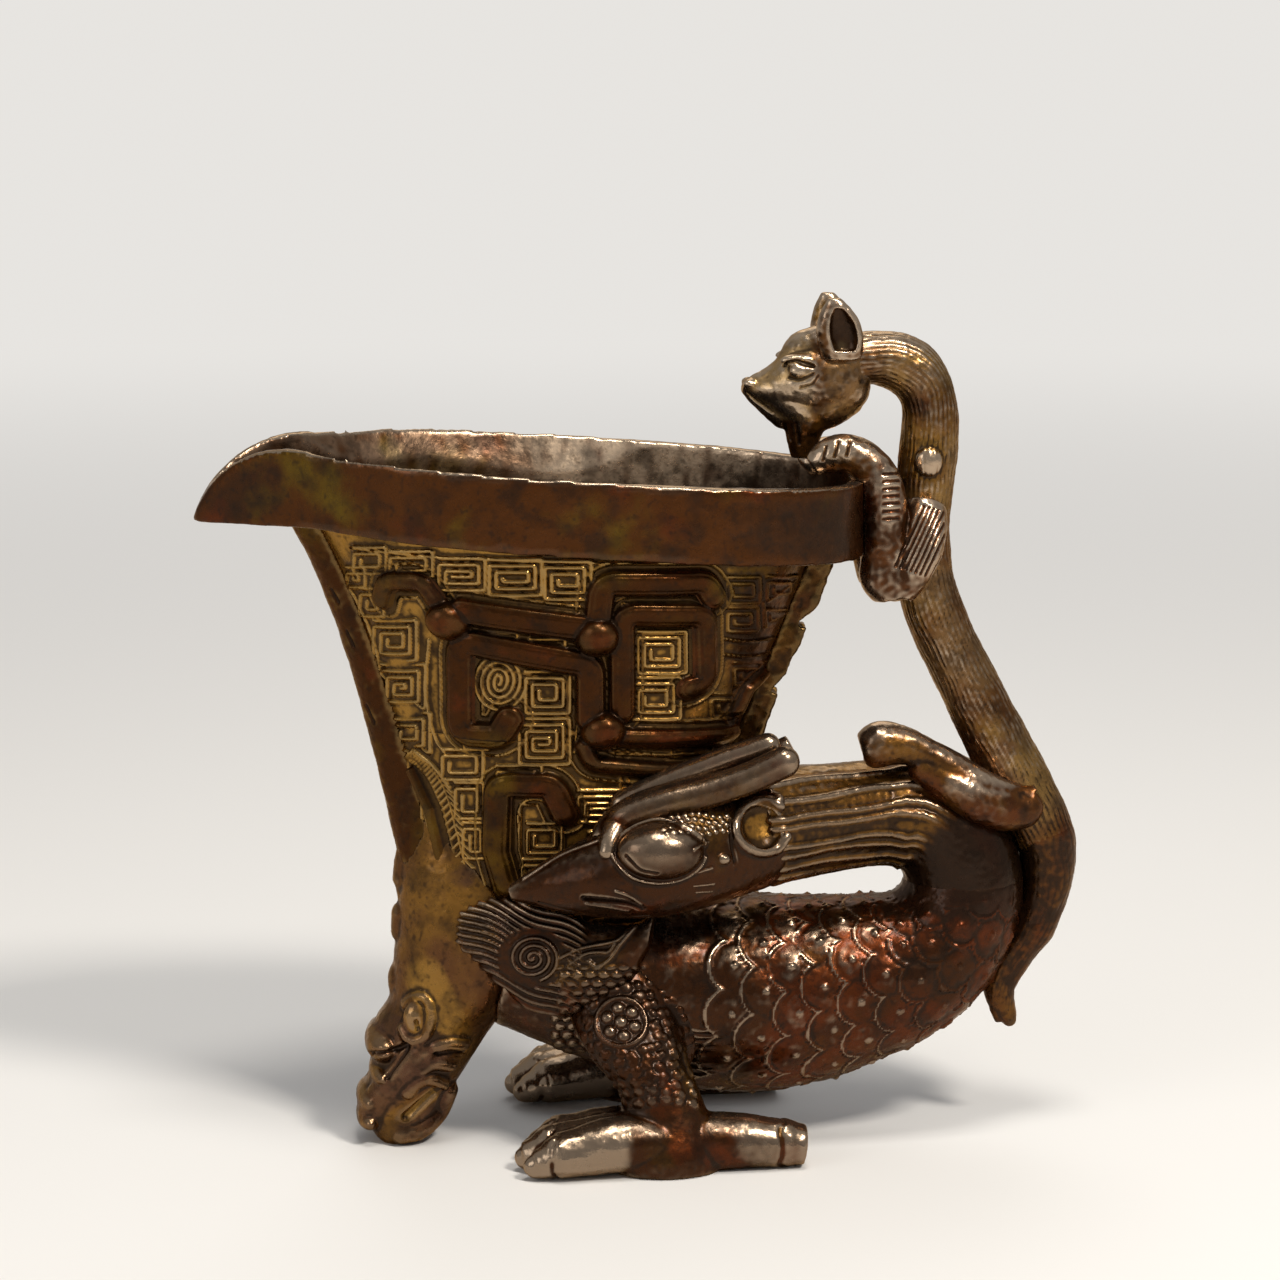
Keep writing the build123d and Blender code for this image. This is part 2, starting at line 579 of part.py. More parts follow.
def relief_band(share, places):
    """A band of even width through the near wall, with rounded corners and ends."""
    points = [on_side(*place) for place in places]
    middle = FilletPolyline(*points, radius=RELIEF_BEND) if len(points) > 2 else Line(*points)
    return extrude(Plane.XZ * make_face(offset(middle, share * RELIEF_WIDTH / 2)), amount=BIG)


def relief_boss(along, rise):
    """A ball sunk into the near wall so that a low dome stands out."""
    ball = (BOSS_RADIUS**2 + BOSS_PROUD**2) / (2 * BOSS_PROUD)
    x, z = on_side(along, rise)
    sink = ball - BOSS_PROUD
    reach = (horn_rear(z) - horn_front(z)) / 2 - sink
    off_centre = (x - (horn_rear(z) + horn_front(z)) / 2) / reach
    return Pos(x, -(horn_half(z) - sink) * math.sqrt(1 - off_centre**2), z) * Sphere(ball)


hooked_bands = {
    "left hook": (0.7, ((0.08, 0.875), (0.105, 0.93), (0.18, 0.94), (0.21, 0.855))),
    "upper bar": (1.0, ((0.25, 0.865), (0.505, 0.825))),
    "inner loop": (1.0, ((0.54, 0.575), (0.525, 0.725), (0.23, 0.785), (0.195, 0.525), (0.30, 0.525),
                         (0.33, 0.575))),
    "outer arch": (0.94, ((0.535, 0.845), (0.54, 0.945), (0.75, 0.935), (0.78, 0.89))),
    "inner arch": (0.9, ((0.62, 0.59), (0.585, 0.86), (0.77, 0.845), (0.825, 0.65), (0.78, 0.645))),
    "lower leaf": (0.75, ((0.63, 0.52), (0.96, 0.49))),
    "lower scroll": (1.0, ((0.50, 0.31), (0.45, 0.39), (0.29, 0.39), (0.275, 0.20), (0.31, 0.095))),
}
boss_places = ((0.215, 0.835), (0.535, 0.80), (0.575, 0.54))
raised_horn = horn(CUP_BASE_Z, horn_top, -RELIEF_PROUD, levels=7)
relief = [relief_band(*band) & raised_horn for band in hooked_bands.values()]
relief += [relief_boss(*place) for place in boss_places]
for form in relief:
    side_form = form - horn_cavity - above_seam
    cup_wall += side_form - bird_head - crest_near - crest_far - wing_near - dragon_solid
    cup_wall += mirrored(side_form) - wing_far - dragon_solid

pieces = {
    "cup_wall": cup_wall,
    "rim_band": rim_band,
    "front_flange": front_flange,
    "rear_flange": rear_flange,
    "dragon_head": dragon_head,
    "bird_body": bird_body,
    "wing_near": wing_near,
    "wing_far": wing_far,
    "leg_near": leg_near,
    "leg_far": leg_far,
    "bird_neck": bird_neck,
    "bird_head": bird_head,
    "crest_near": crest_near,
    "crest_far": crest_far,
    "beast_body": beast_body,
    "beast_head": beast_head,
    "beast_ear_near": beast_ear_near,
    "beast_ear_far": beast_ear_far,
    "beast_arm_near": beast_arm_near,
    "beast_arm_far": beast_arm_far,
    "beast_hind_leg_near": beast_hind_leg_near,
    "beast_hind_leg_far": beast_hind_leg_far,
    "beast_tail": beast_tail,
    "leg_dowel_near": hip_pin,
    "leg_dowel_far": mirrored(hip_pin),
    "dragon_dowel": dowel(*dragon_joint, depth=floor_dowel_depth),
    "body_dowel": dowel(*body_joint, depth=floor_dowel_depth),
    "neck_dowel": dowel(*neck_joint),
    "head_dowel": dowel(*head_joint),
    "hip_dowel": dowel(*hip_seat, radius=SMALL_DOWEL_RADIUS),
    "tail_dowel": dowel(*tail_joint, radius=SMALL_DOWEL_RADIUS, depth=0.8 * DOWEL_DEPTH),
    "beast_head_dowel": dowel(*beast_head_joint, radius=SMALL_DOWEL_RADIUS, depth=0.8 * DOWEL_DEPTH),
}
os.makedirs("parts", exist_ok=True)
for name, shape in pieces.items():
    export_step(shape, f"parts/{name}.step")
    print(name, round(shape.volume, 1), len(shape.solids()))
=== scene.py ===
# %% [markdown]
# # A bronze pouring cup, chased in Blender
#
# The cup is a horn of cast bronze. A bird carries it, a dragon's head is its front foot and a climbing
# beast is its handle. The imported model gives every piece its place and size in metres. Blender's job is
# what a bronze worker does after casting: chasing the ornament into the surface and giving it a patina.

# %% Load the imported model
import math
import bmesh
import bpy
import numpy as np
from mathutils import Matrix, Vector, noise
from mathutils.bvhtree import BVHTree


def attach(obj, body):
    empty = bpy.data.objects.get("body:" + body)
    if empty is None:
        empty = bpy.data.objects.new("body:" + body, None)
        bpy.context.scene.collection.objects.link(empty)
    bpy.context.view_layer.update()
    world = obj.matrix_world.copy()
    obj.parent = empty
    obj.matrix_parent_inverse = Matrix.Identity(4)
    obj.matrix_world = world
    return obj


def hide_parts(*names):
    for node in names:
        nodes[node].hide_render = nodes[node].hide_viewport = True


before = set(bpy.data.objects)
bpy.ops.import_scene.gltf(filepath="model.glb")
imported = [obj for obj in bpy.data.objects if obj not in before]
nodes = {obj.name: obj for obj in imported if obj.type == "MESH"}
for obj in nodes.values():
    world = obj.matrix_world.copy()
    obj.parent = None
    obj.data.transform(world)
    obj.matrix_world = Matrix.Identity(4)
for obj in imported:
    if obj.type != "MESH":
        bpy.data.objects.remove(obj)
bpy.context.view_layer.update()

MM = 0.001

# %% [markdown]
# ## The camera
#
# The camera stands where the photographer stood, a little above the lip. Its focal length is written in
# pixels of the square picture, so the same numbers can turn a place in the picture into a line of sight.
# The ornament below is placed along such lines, which is surer than guessing where it sits on a curve.

# %% Camera at the photographer's place
PHOTO_PIXELS = 1280
FOCAL_PIXELS = 4183.4
SENSOR_MM = 36.0
CAMERA_PLACE = Vector((-48.83, -698.29, 212.0))
CAMERA_AIM = Vector((0.0, 0.0, 86.43))

view_turn = (CAMERA_AIM - CAMERA_PLACE).to_track_quat("-Z", "Y")
camera_lens = bpy.data.cameras.new("photo_camera")
camera_lens.sensor_width = SENSOR_MM
camera_lens.lens = FOCAL_PIXELS * SENSOR_MM / PHOTO_PIXELS
camera = bpy.data.objects.new("photo_camera", camera_lens)
camera.location = CAMERA_PLACE * MM
camera.rotation_euler = view_turn.to_euler()
bpy.context.scene.collection.objects.link(camera)
bpy.context.scene.camera = camera


def photo_ray(pixel):
    """The line of sight through one pixel of the picture."""
    middle = PHOTO_PIXELS / 2
    return (view_turn @ Vector((pixel[0] - middle, middle - pixel[1], -FOCAL_PIXELS))).normalized()


print("lens", round(camera_lens.lens, 1), "mm")

# %% [markdown]
# ## The floor
#
# A pale round floor carries the cup. An endless backdrop could be bent up behind the cup instead, but it
# would stand in the way of a view from behind, so the floor is a plain disc that reaches far out.

# %% Pale round floor
FLOOR_RADIUS = 14.0
FLOOR_SIDES = 96
FLOOR_COLOUR = (0.80, 0.78, 0.75, 1.0)
FLOOR_ROUGHNESS = 0.7

floor_form = bmesh.new()
bmesh.ops.create_circle(floor_form, cap_ends=True, radius=FLOOR_RADIUS, segments=FLOOR_SIDES)
floor_mesh = bpy.data.meshes.new("floor")
floor_form.to_mesh(floor_mesh)
floor_form.free()
floor = bpy.data.objects.new("floor", floor_mesh)
bpy.context.scene.collection.objects.link(floor)
floor_paint = bpy.data.materials.new("pale_floor")
floor_paint.use_nodes = True
floor_shader = floor_paint.node_tree.nodes["Principled BSDF"]
floor_shader.inputs["Base Color"].default_value = FLOOR_COLOUR
floor_shader.inputs["Roughness"].default_value = FLOOR_ROUGHNESS
floor_mesh.materials.append(floor_paint)
print("floor radius:", FLOOR_RADIUS, "m")

# %% [markdown]
# Far from the cup the lamps no longer reach the floor, so there it shows the same pale grey by itself. A
# light path node shows that glow to the camera and to reflections only, so it does not light the bronze.

# %% Far floor that glows by itself
NEAR_FLOOR = 0.25
FAR_FLOOR = 1.3


def background_share(tree):
    """One where the camera or a reflection looks, zero where light is gathered."""
    path = tree.nodes.new("ShaderNodeLightPath")
    share = path.outputs["Is Camera Ray"]
    for ray in ("Is Glossy Ray", "Is Transmission Ray"):
        either = tree.nodes.new("ShaderNodeMath")
        either.operation = "MAXIMUM"
        tree.links.new(share, either.inputs[0])
        tree.links.new(path.outputs[ray], either.inputs[1])
        share = either.outputs[0]
    return share


tree = floor_paint.node_tree
reach = tree.nodes.new("ShaderNodeVectorMath")
reach.operation = "LENGTH"
tree.links.new(tree.nodes.new("ShaderNodeTexCoord").outputs["Object"], reach.inputs[0])
far_off = tree.nodes.new("ShaderNodeMapRange")
far_off.interpolation_type = "SMOOTHSTEP"
far_off.inputs["From Min"].default_value = NEAR_FLOOR
far_off.inputs["From Max"].default_value = FAR_FLOOR
tree.links.new(reach.outputs["Value"], far_off.inputs["Value"])
shown_far = tree.nodes.new("ShaderNodeMath")
shown_far.operation = "MULTIPLY"
tree.links.new(far_off.outputs[0], shown_far.inputs[0])
tree.links.new(background_share(tree), shown_far.inputs[1])
glow = tree.nodes.new("ShaderNodeEmission")
glow.inputs["Color"].default_value = FLOOR_COLOUR
either = tree.nodes.new("ShaderNodeMixShader")
tree.links.new(shown_far.outputs[0], either.inputs[0])
tree.links.new(floor_shader.outputs[0], either.inputs[1])
tree.links.new(glow.outputs[0], either.inputs[2])
tree.links.new(either.outputs[0], tree.nodes["Material Output"].inputs["Surface"])
print("the glow grows from", NEAR_FLOOR, "to", FAR_FLOOR, "m from the cup")

# %% [markdown]
# ## The lamps
#
# Bronze mostly shows what it reflects, so the lamps are soft squares: their reflections become the broad
# lights on the horn and the bird's head. A warm key lamp and a top lamp do most of the work. Two weak ones
# keep the left side and the back from going black.

# %% Four lamps


def lamp(name, place, width, power, colour=(1.0, 1.0, 1.0)):
    """A square soft lamp that looks at the middle of the cup."""
    light = bpy.data.lights.new(name, "AREA")
    light.size = width
    light.energy = power
    light.color = colour
    thing = bpy.data.objects.new(name, light)
    thing.location = place
    thing.rotation_euler = (CAMERA_AIM * MM - Vector(place)).to_track_quat("-Z", "Y").to_euler()
    bpy.context.scene.collection.objects.link(thing)
    return thing


lamp("key_lamp", place=(0.40, -0.55, 0.80), width=0.18, power=6.9, colour=(1.0, 0.95, 0.88))
lamp("top_lamp", place=(0.05, -0.28, 1.15), width=0.30, power=5.2, colour=(1.0, 0.97, 0.92))
lamp("left_lamp", place=(-0.8, -0.6, 0.45), width=0.5, power=1.7)
lamp("back_lamp", place=(0.1, 0.8, 0.8), width=0.6, power=1.7)

# %% [markdown]
# ## The world
#
# The world is pale for the camera and for reflections, and dimmer as a light source, so that the lamps
# still make the shadows. The view transform is Standard, because it shows the colours as they are mixed.

# %% World and view
WORLD_COLOUR = (0.82, 0.83, 0.85, 1.0)
WORLD_LIGHT = 0.32
WORLD_SHOWN = 0.54

world = bpy.data.worlds.new("studio")
world.use_nodes = True
bpy.context.scene.world = world
tree = world.node_tree
background = tree.nodes["Background"]
background.inputs["Color"].default_value = WORLD_COLOUR
level = tree.nodes.new("ShaderNodeMapRange")
level.inputs["To Min"].default_value = WORLD_LIGHT
level.inputs["To Max"].default_value = WORLD_SHOWN
tree.links.new(background_share(tree), level.inputs["Value"])
tree.links.new(level.outputs[0], background.inputs["Strength"])
bpy.context.scene.view_settings.view_transform = "Standard"
print("world light:", WORLD_LIGHT, "shown as:", WORLD_SHOWN)

# %% [markdown]
# ## Helpers for shader nodes
#
# A material is a graph of nodes, and each node takes several lines of Python. Four helpers stand for the
# nodes that are used most: a mix of two colours, a map from one range to another, a noise, and an attribute
# of the mesh. Written with them, a material reads like a recipe.

# %% Mix, range, noise and attribute


def mixed(tree, share, low, high):
    """Mixes two colours, each a colour or a socket, by a share that is a socket."""
    node = tree.nodes.new("ShaderNodeMix")
    node.data_type = "RGBA"
    tree.links.new(share, node.inputs[0])
    for place, value in ((6, low), (7, high)):
        if isinstance(value, bpy.types.NodeSocket):
            tree.links.new(value, node.inputs[place])
        else:
            node.inputs[place].default_value = (*value, 1.0)
    return node.outputs[2]


def ranged(tree, value, low, high, to_low, to_high):
    """A value mapped smoothly from one range to another."""
    node = tree.nodes.new("ShaderNodeMapRange")
    node.interpolation_type = "SMOOTHSTEP"
    tree.links.new(value, node.inputs["Value"])
    for name, number in (("From Min", low), ("From Max", high), ("To Min", to_low), ("To Max", to_high)):
        node.inputs[name].default_value = number
    return node.outputs[0]


def clouds(tree, where, scale, detail):
    """Noise in object coordinates."""
    node = tree.nodes.new("ShaderNodeTexNoise")
    tree.links.new(where, node.inputs["Vector"])
    node.inputs["Scale"].default_value = scale
    node.inputs["Detail"].default_value = detail
    return node.outputs[0]


def own_value(tree, name):
    """An attribute that the piece carries on its points."""
    node = tree.nodes.new("ShaderNodeAttribute")
    node.attribute_name = name
    return node.outputs["Fac"]


print("helpers:", [helper.__name__ for helper in (mixed, ranged, clouds, own_value)])

# %% [markdown]
# ## The bronze
#
# Old bronze that is handled and waxed is a deep brown, dark in its grooves and worn to a golden brown on
# its ridges; here that darkness and that gold also stand in for the shade in the grooves and the light on the
# ridges. A material could find the ridges with a pointiness node, but that is lost on export. So every piece
# carries an attribute called hollow_and_shade, worked out from its own mesh: below zero on ridges, above zero
# in grooves, and moved further by the painted shade and painted highlights that the bench adds. A second one
# called ground is above zero where a golden dust of polish stays, as between the raised bands, and below zero
# where the metal is stained red. The material turns both into colour, and makes worn metal smoother. Noise
# adds clouds, patches of olive and red patina, and fine pits. A thin coat stands for the wax, and the tint
# warms the reflections at grazing angles, which would else be grey.

# %% One function for every bronze
PATCH_SCALE = 55.0
CLOUD_SCALE = 210.0
SPECK_SCALE = 800.0
PIT_SCALE = 1500.0
PIT_DEPTH = 0.11
PIT_STRENGTH = 0.45
# A dark colour for random clouds and specks, and for grooves, where it is patina and painted shade.
SOOT_AND_SHADE = (0.016, 0.008, 0.004)
EDGE_GLOW = (0.80, 0.58, 0.38)
EDGE_LEVEL = 0.2
WAX_ROUGHNESS = 0.2


def bronze(name, skin, dust, ridge_and_highlight, olive, rust, olive_from, rust_from, wax=0.16):
    """A waxed bronze: colours for the skin, the golden dust, the worn ridges and painted highlights, and two
    patinas.
    """
    material = bpy.data.materials.new(name)
    material.use_nodes = True
    tree = material.node_tree
    shader = tree.nodes["Principled BSDF"]
    where = tree.nodes.new("ShaderNodeTexCoord").outputs["Object"]
    # depth reads hollow_and_shade: patina and painted shade in grooves, wear and painted highlights on ridges.
    depth = own_value(tree, "hollow_and_shade")
    ground = own_value(tree, "ground")
    patch = clouds(tree, where, PATCH_SCALE, 5.0)
    other = clouds(tree, where, PATCH_SCALE * 1.7, 5.0)
    cloud = clouds(tree, where, CLOUD_SCALE, 4.0)
    speck = clouds(tree, where, SPECK_SCALE, 4.0)
    pit = clouds(tree, where, PIT_SCALE, 3.0)

    colour = mixed(tree, ranged(tree, patch, olive_from, olive_from + 0.16, 0.0, 0.85), skin, olive)
    colour = mixed(tree, ranged(tree, other, rust_from, rust_from + 0.14, 0.0, 0.8), colour, rust)
    colour = mixed(tree, ranged(tree, ground, 0.0, -1.0, 0.0, 0.8), colour, rust)
    colour = mixed(tree, ranged(tree, ground, 0.0, 1.0, 0.0, 0.85), colour, dust)
    colour = mixed(tree, ranged(tree, cloud, 0.46, 0.68, 0.0, 0.6), colour, SOOT_AND_SHADE)
    colour = mixed(tree, ranged(tree, speck, 0.54, 0.72, 0.0, 0.6), colour, SOOT_AND_SHADE)
    colour = mixed(tree, ranged(tree, depth, 0.05, 0.6, 0.0, 0.85), colour, SOOT_AND_SHADE)
    # Worn ridges and painted highlights take the ridge_and_highlight colour.
    colour = mixed(tree, ranged(tree, depth, -0.15, -0.9, 0.0, 0.75), colour, ridge_and_highlight)
    tree.links.new(colour, shader.inputs["Base Color"])
    tree.links.new(ranged(tree, depth, -0.6, 0.5, 0.95, 0.75), shader.inputs["Metallic"])
    worn = tree.nodes.new("ShaderNodeMath")
    worn.operation = "MULTIPLY"
    tree.links.new(ranged(tree, speck, 0.3, 0.7, 0.23, 0.44), worn.inputs[0])
    tree.links.new(ranged(tree, depth, -0.1, -0.7, 1.0, 0.65), worn.inputs[1])
    tree.links.new(worn.outputs[0], shader.inputs["Roughness"])
    bump = tree.nodes.new("ShaderNodeBump")
    bump.inputs["Strength"].default_value = PIT_STRENGTH
    bump.inputs["Distance"].default_value = PIT_DEPTH * MM
    tree.links.new(pit, bump.inputs["Height"])
    tree.links.new(bump.outputs[0], shader.inputs["Normal"])
    shader.inputs["Specular IOR Level"].default_value = EDGE_LEVEL
    shader.inputs["Specular Tint"].default_value = (*EDGE_GLOW, 1.0)
    shader.inputs["Coat Weight"].default_value = wax
    shader.inputs["Coat Roughness"].default_value = WAX_ROUGHNESS
    return material


print("patches of patina are about", round(1000 / PATCH_SCALE), "mm wide")

# %% [markdown]
# ## The finishes
#
# One casting shows several colours. The patterned wall is dark with gold in its ground, the lip is brown with a
# pale inside, partly brushed and partly painted light, the dragon is ochre, the bird is red brown and the beast
# is lighter where hands hold it. Each is the same recipe with other colours, so that they still look like one
# metal.

# %% Bronzes of the cup
finishes = {
    "patterned_bronze": bronze(
        "patterned_bronze", skin=(0.042, 0.013, 0.002), dust=(0.33, 0.172, 0.034),
        ridge_and_highlight=(0.30, 0.188, 0.068), olive=(0.085, 0.045, 0.004), rust=(0.080, 0.018, 0.004),
        olive_from=0.52, rust_from=0.55, wax=0.07),
    # The lip's pale dust colour is its inside: brushed metal, and painted light on the lit inner wall.
    "lip_bronze": bronze(
        "lip_bronze", skin=(0.068, 0.020, 0.002), dust=(0.68, 0.51, 0.35),
        ridge_and_highlight=(0.40, 0.31, 0.22), olive=(0.125, 0.078, 0.005), rust=(0.090, 0.018, 0.003),
        olive_from=0.55, rust_from=0.55),
    "ochre_bronze": bronze(
        "ochre_bronze", skin=(0.100, 0.040, 0.012), dust=(0.32, 0.165, 0.03),
        ridge_and_highlight=(0.25, 0.155, 0.08), olive=(0.21, 0.098, 0.015), rust=(0.085, 0.038, 0.022),
        olive_from=0.49, rust_from=0.53),
    "red_bronze": bronze(
        "red_bronze", skin=(0.040, 0.012, 0.002), dust=(0.30, 0.145, 0.024),
        ridge_and_highlight=(0.34, 0.25, 0.17), olive=(0.080, 0.038, 0.005), rust=(0.090, 0.018, 0.003),
        olive_from=0.53, rust_from=0.56),
    "dark_bronze": bronze(
        "dark_bronze", skin=(0.105, 0.041, 0.009), dust=(0.36, 0.235, 0.105),
        ridge_and_highlight=(0.48, 0.37, 0.265), olive=(0.20, 0.102, 0.016), rust=(0.075, 0.018, 0.004),
        olive_from=0.48, rust_from=0.54),
    "dowel_bronze": bronze(
        "dowel_bronze", skin=(0.20, 0.12, 0.05), dust=(0.10, 0.06, 0.03),
        ridge_and_highlight=(0.34, 0.22, 0.10), olive=(0.16, 0.12, 0.05), rust=(0.16, 0.09, 0.05),
        olive_from=0.55, rust_from=0.60),
}
print("bronzes:", sorted(finishes))

# %% [markdown]
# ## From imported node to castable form
#
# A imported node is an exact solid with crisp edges. A copy of it, in millimetres, is where each casting
# starts. Where two castings are joined flush and chased over, the copy is first lengthened a little past the
# joint, so that no groove opens between them.

# %% Copies of nodes
JOINT_LAP = 2.0
JOINT_DRAW = 0.9
JOINT_REACH = 13.0
TOUCH = 0.03
WELD = 0.002


def node_form(*names, joints=()):
    """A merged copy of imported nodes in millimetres, lengthened past its flush joints."""
    form = bmesh.new()
    for name in names:
        form.from_mesh(nodes[name].data)
    bmesh.ops.remove_doubles(form, verts=form.verts, dist=WELD * MM)
    bmesh.ops.scale(form, vec=(1 / MM, 1 / MM, 1 / MM), verts=form.verts)
    for place, aim in joints:
        place = Vector(place)
        outward = Vector(aim).normalized()
        flush = {vert for vert in form.verts
                 if abs((vert.co - place).dot(outward)) < TOUCH and (vert.co - place).length < JOINT_REACH}
        cap = [face for face in form.faces if flush.issuperset(face.verts)]
        grown = bmesh.ops.extrude_face_region(form, geom=cap)["geom"]
        tip = [part for part in grown if isinstance(part, bmesh.types.BMVert)]
        end = place + outward * JOINT_LAP
        bmesh.ops.translate(form, vec=outward * JOINT_LAP, verts=tip)
        bmesh.ops.scale(form, vec=[JOINT_DRAW] * 3, space=Matrix.Translation(-end), verts=tip)
    return form


print("nodes to copy from:", len(nodes))

# %% [markdown]
# ## Wax and the remesh
#
# A casting starts as wax, so its edges are soft and everything modelled on it flows together. Lumps and rolls
# of wax are balls laid into the copy, where they may cross it freely. Blender's voxel remesh then turns all
# of it into one even skin of small squares that can carry relief, and a smooth modifier softens the seams.
# Sculpting by hand could do the same, but a script can be run again. A ball is made on its own first,
# because adding it straight to a big form is slow.

# %% Lumps, rolls and the remesh
SOFTENING = 0.5


def add_lump(form, place, radii, fineness=3):
    """A ball of wax, round or drawn out along the axes, made on its own and laid into the form."""
    ball = bmesh.new()
    stretch = Matrix.LocRotScale(Vector(place), None, Vector(radii))
    bmesh.ops.create_icosphere(ball, subdivisions=fineness, radius=1.0, matrix=stretch)
    mesh = bpy.data.meshes.new("ball")
    ball.to_mesh(mesh)
    ball.free()
    form.from_mesh(mesh)
    bpy.data.meshes.remove(mesh)


def add_roll(form, line, thick, thin):
    """A roll of wax along a line, from its thick end to its thin end."""
    count = len(line)
    for step, place in enumerate(line):
        radius = thick + (thin - thick) * step / max(count - 1, 1)
        add_lump(form, place, (radius, radius, radius), 2)


def melt(name, form, grain, rounds=4):
    """Melts a form into one even skin with squares of the given grain, and softens it."""
    mesh = bpy.data.meshes.new(name)
    form.to_mesh(mesh)
    form.free()
    piece = bpy.data.objects.new(name, mesh)
    bpy.context.scene.collection.objects.link(piece)
    cast = piece.modifiers.new("cast", "REMESH")
    cast.mode = "VOXEL"
    cast.voxel_size = grain
    relax = piece.modifiers.new("relax", "SMOOTH")
    relax.factor = SOFTENING
    relax.iterations = rounds
    melted = bpy.data.meshes.new_from_object(piece.evaluated_get(bpy.context.evaluated_depsgraph_get()))
    piece.modifiers.clear()
    piece.data = melted
    bpy.data.meshes.remove(mesh)
    return piece


print("wax ready, softened by", SOFTENING, "each round")

# %% [markdown]
# ## Curves and soft shares
#
# Ornament is drawn with smooth curves through a few points. Tone and relief fade with soft shares: a bell is
# one in its middle and fades to its rim, a ramp grows from zero to one, and between says where the ramp
# starts and ends. Hard edges would show as steps in the bronze.

# %% Soft shares and curves


def bell(x):
    """A smooth hump, one in the middle and zero from the rim on."""
    return (1 - np.clip(np.abs(x), 0, 1) ** 2) ** 2


def ramp(x):
    """A share that grows smoothly from zero to one."""
    x = np.clip(x, 0, 1)
    return x * x * (3 - 2 * x)


def between(values, start, end):
    """A smooth share, zero before the start value and one past the end value, in either direction."""
    return ramp((values - start) / (end - start))


def curve(points, steps=6):
    """A smooth line through the points, with the given number of steps between each two."""
    points = np.array(points, float)
    if len(points) < 3:
        shares = np.linspace(0, 1, steps + 1)[:, None]
        return points[0] + (points[-1] - points[0]) * shares
    ring = np.vstack([2 * points[0] - points[1], points, 2 * points[-1] - points[-2]])
    line = []
    for before, start, end, after in zip(ring, ring[1:], ring[2:], ring[3:]):
        for step in range(steps):
            t = step / steps
            square = (2 * before - 5 * start + 4 * end - after) * t**2
            cube = (3 * start - before - 3 * end + after) * t**3
            line.append(0.5 * (2 * start + (end - before) * t + square + cube))
    line.append(ring[-2])
    return np.array(line)


print("half way up a ramp:", float(between(np.array(0.5), 0.0, 1.0)))

# %% [markdown]
# ## Noise and places in the picture
#
# Nothing made by hand is quite even, so noise from Blender's own library is mixed into relief and tone. It
# depends only on the place, so every run gives the same. Places in the picture are counted in pixels, u to
# the right and v down, and points on the far side count as if they were mirrored to the near side.

# %% Noise and places
FAR_SIDE = (1, -1, 1)


def uneven(points, size):
    """Soft unevenness of the given size, between about minus one and one."""
    return np.array([noise.noise(Vector(point) / size) for point in points])


def photo_places(points):
    """Where points in millimetres show in the picture, in pixels."""
    seen = (points - np.array(CAMERA_PLACE)) @ np.array(view_turn.to_matrix())
    scale = FOCAL_PIXELS / -seen[:, 2]
    return PHOTO_PIXELS / 2 + seen[:, 0] * scale, PHOTO_PIXELS / 2 - seen[:, 1] * scale


def near_places(points):
    """The same for points on both sides, with the far ones mirrored to the near side."""
    return photo_places(points * np.where(points[:, 1:2] > 0, FAR_SIDE, 1))


def picture_spot(u, v, middle, wide, tall):
    """A soft round share about a place in the picture, with its reach across and down in pixels."""
    return bell(np.hypot((u - middle[0]) / wide, (v - middle[1]) / tall))


aim_u, aim_v = photo_places(np.array([CAMERA_AIM]))
print("the camera's aim shows at pixel", round(float(aim_u[0])), round(float(aim_v[0])))

# %% [markdown]
# ## Handing a piece over
#
# A finished piece gets its bronze and smooth shading. The far side of the cup mirrors the near side in
# many places, so a twin is a mirrored copy with its faces turned outward again.

# %% Hand-over and far twin


def hand_over(piece, slot, *stands_for):
    piece.data.shade_smooth()
    piece.data.materials.clear()
    piece.data.materials.append(finishes[slot])
    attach(piece, "root")
    if stands_for:
        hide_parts(*stands_for)
    print(piece.name, len(piece.data.polygons), "faces")
    return piece


def far_twin(piece, name, slot, *stands_for):
    """The same piece on the far side of the cup."""
    mesh = piece.data.copy()
    mesh.transform(Matrix.Scale(-1, 4, (0, 1, 0)))
    mesh.flip_normals()
    twin = bpy.data.objects.new(name, mesh)
    bpy.context.scene.collection.objects.link(twin)
    return hand_over(twin, slot, *stands_for)


print("pieces ride on: root")

# %% [markdown]
# ## Arrays from a mesh
#
# Python is slow point by point, so the points of a mesh are read into one array with foreach_get and worked
# on together. Averaging each point with its neighbours, round by round, gives a smoothed copy of the mesh.
# Where that copy lies outside the mesh there is a groove, and where it lies inside there is a ridge.

# %% Reading and averaging points


def vectors(collection, name):
    """All vectors of a mesh collection as rows of an array."""
    flat = np.empty(len(collection) * 3, np.float32)
    collection.foreach_get(name, flat)
    return flat.reshape(-1, 3).astype(float)


def averaged(values, edges, rounds):
    """Values spread to their neighbours, round by round."""
    first, second = edges.T
    count = np.bincount(edges.ravel(), minlength=len(values))
    count = np.maximum(count, 1)
    for _ in range(rounds):
        spread = np.empty_like(values)
        for axis in range(values.shape[1]):
            column = values[:, axis]
            spread[:, axis] = np.bincount(first, column[second], len(values))
            spread[:, axis] += np.bincount(second, column[first], len(values))
        values = spread / count[:, None]
    return values


wall_points = vectors(nodes["cup_wall"].data.vertices, "co")
print("cup wall as packed:", len(wall_points), "points")

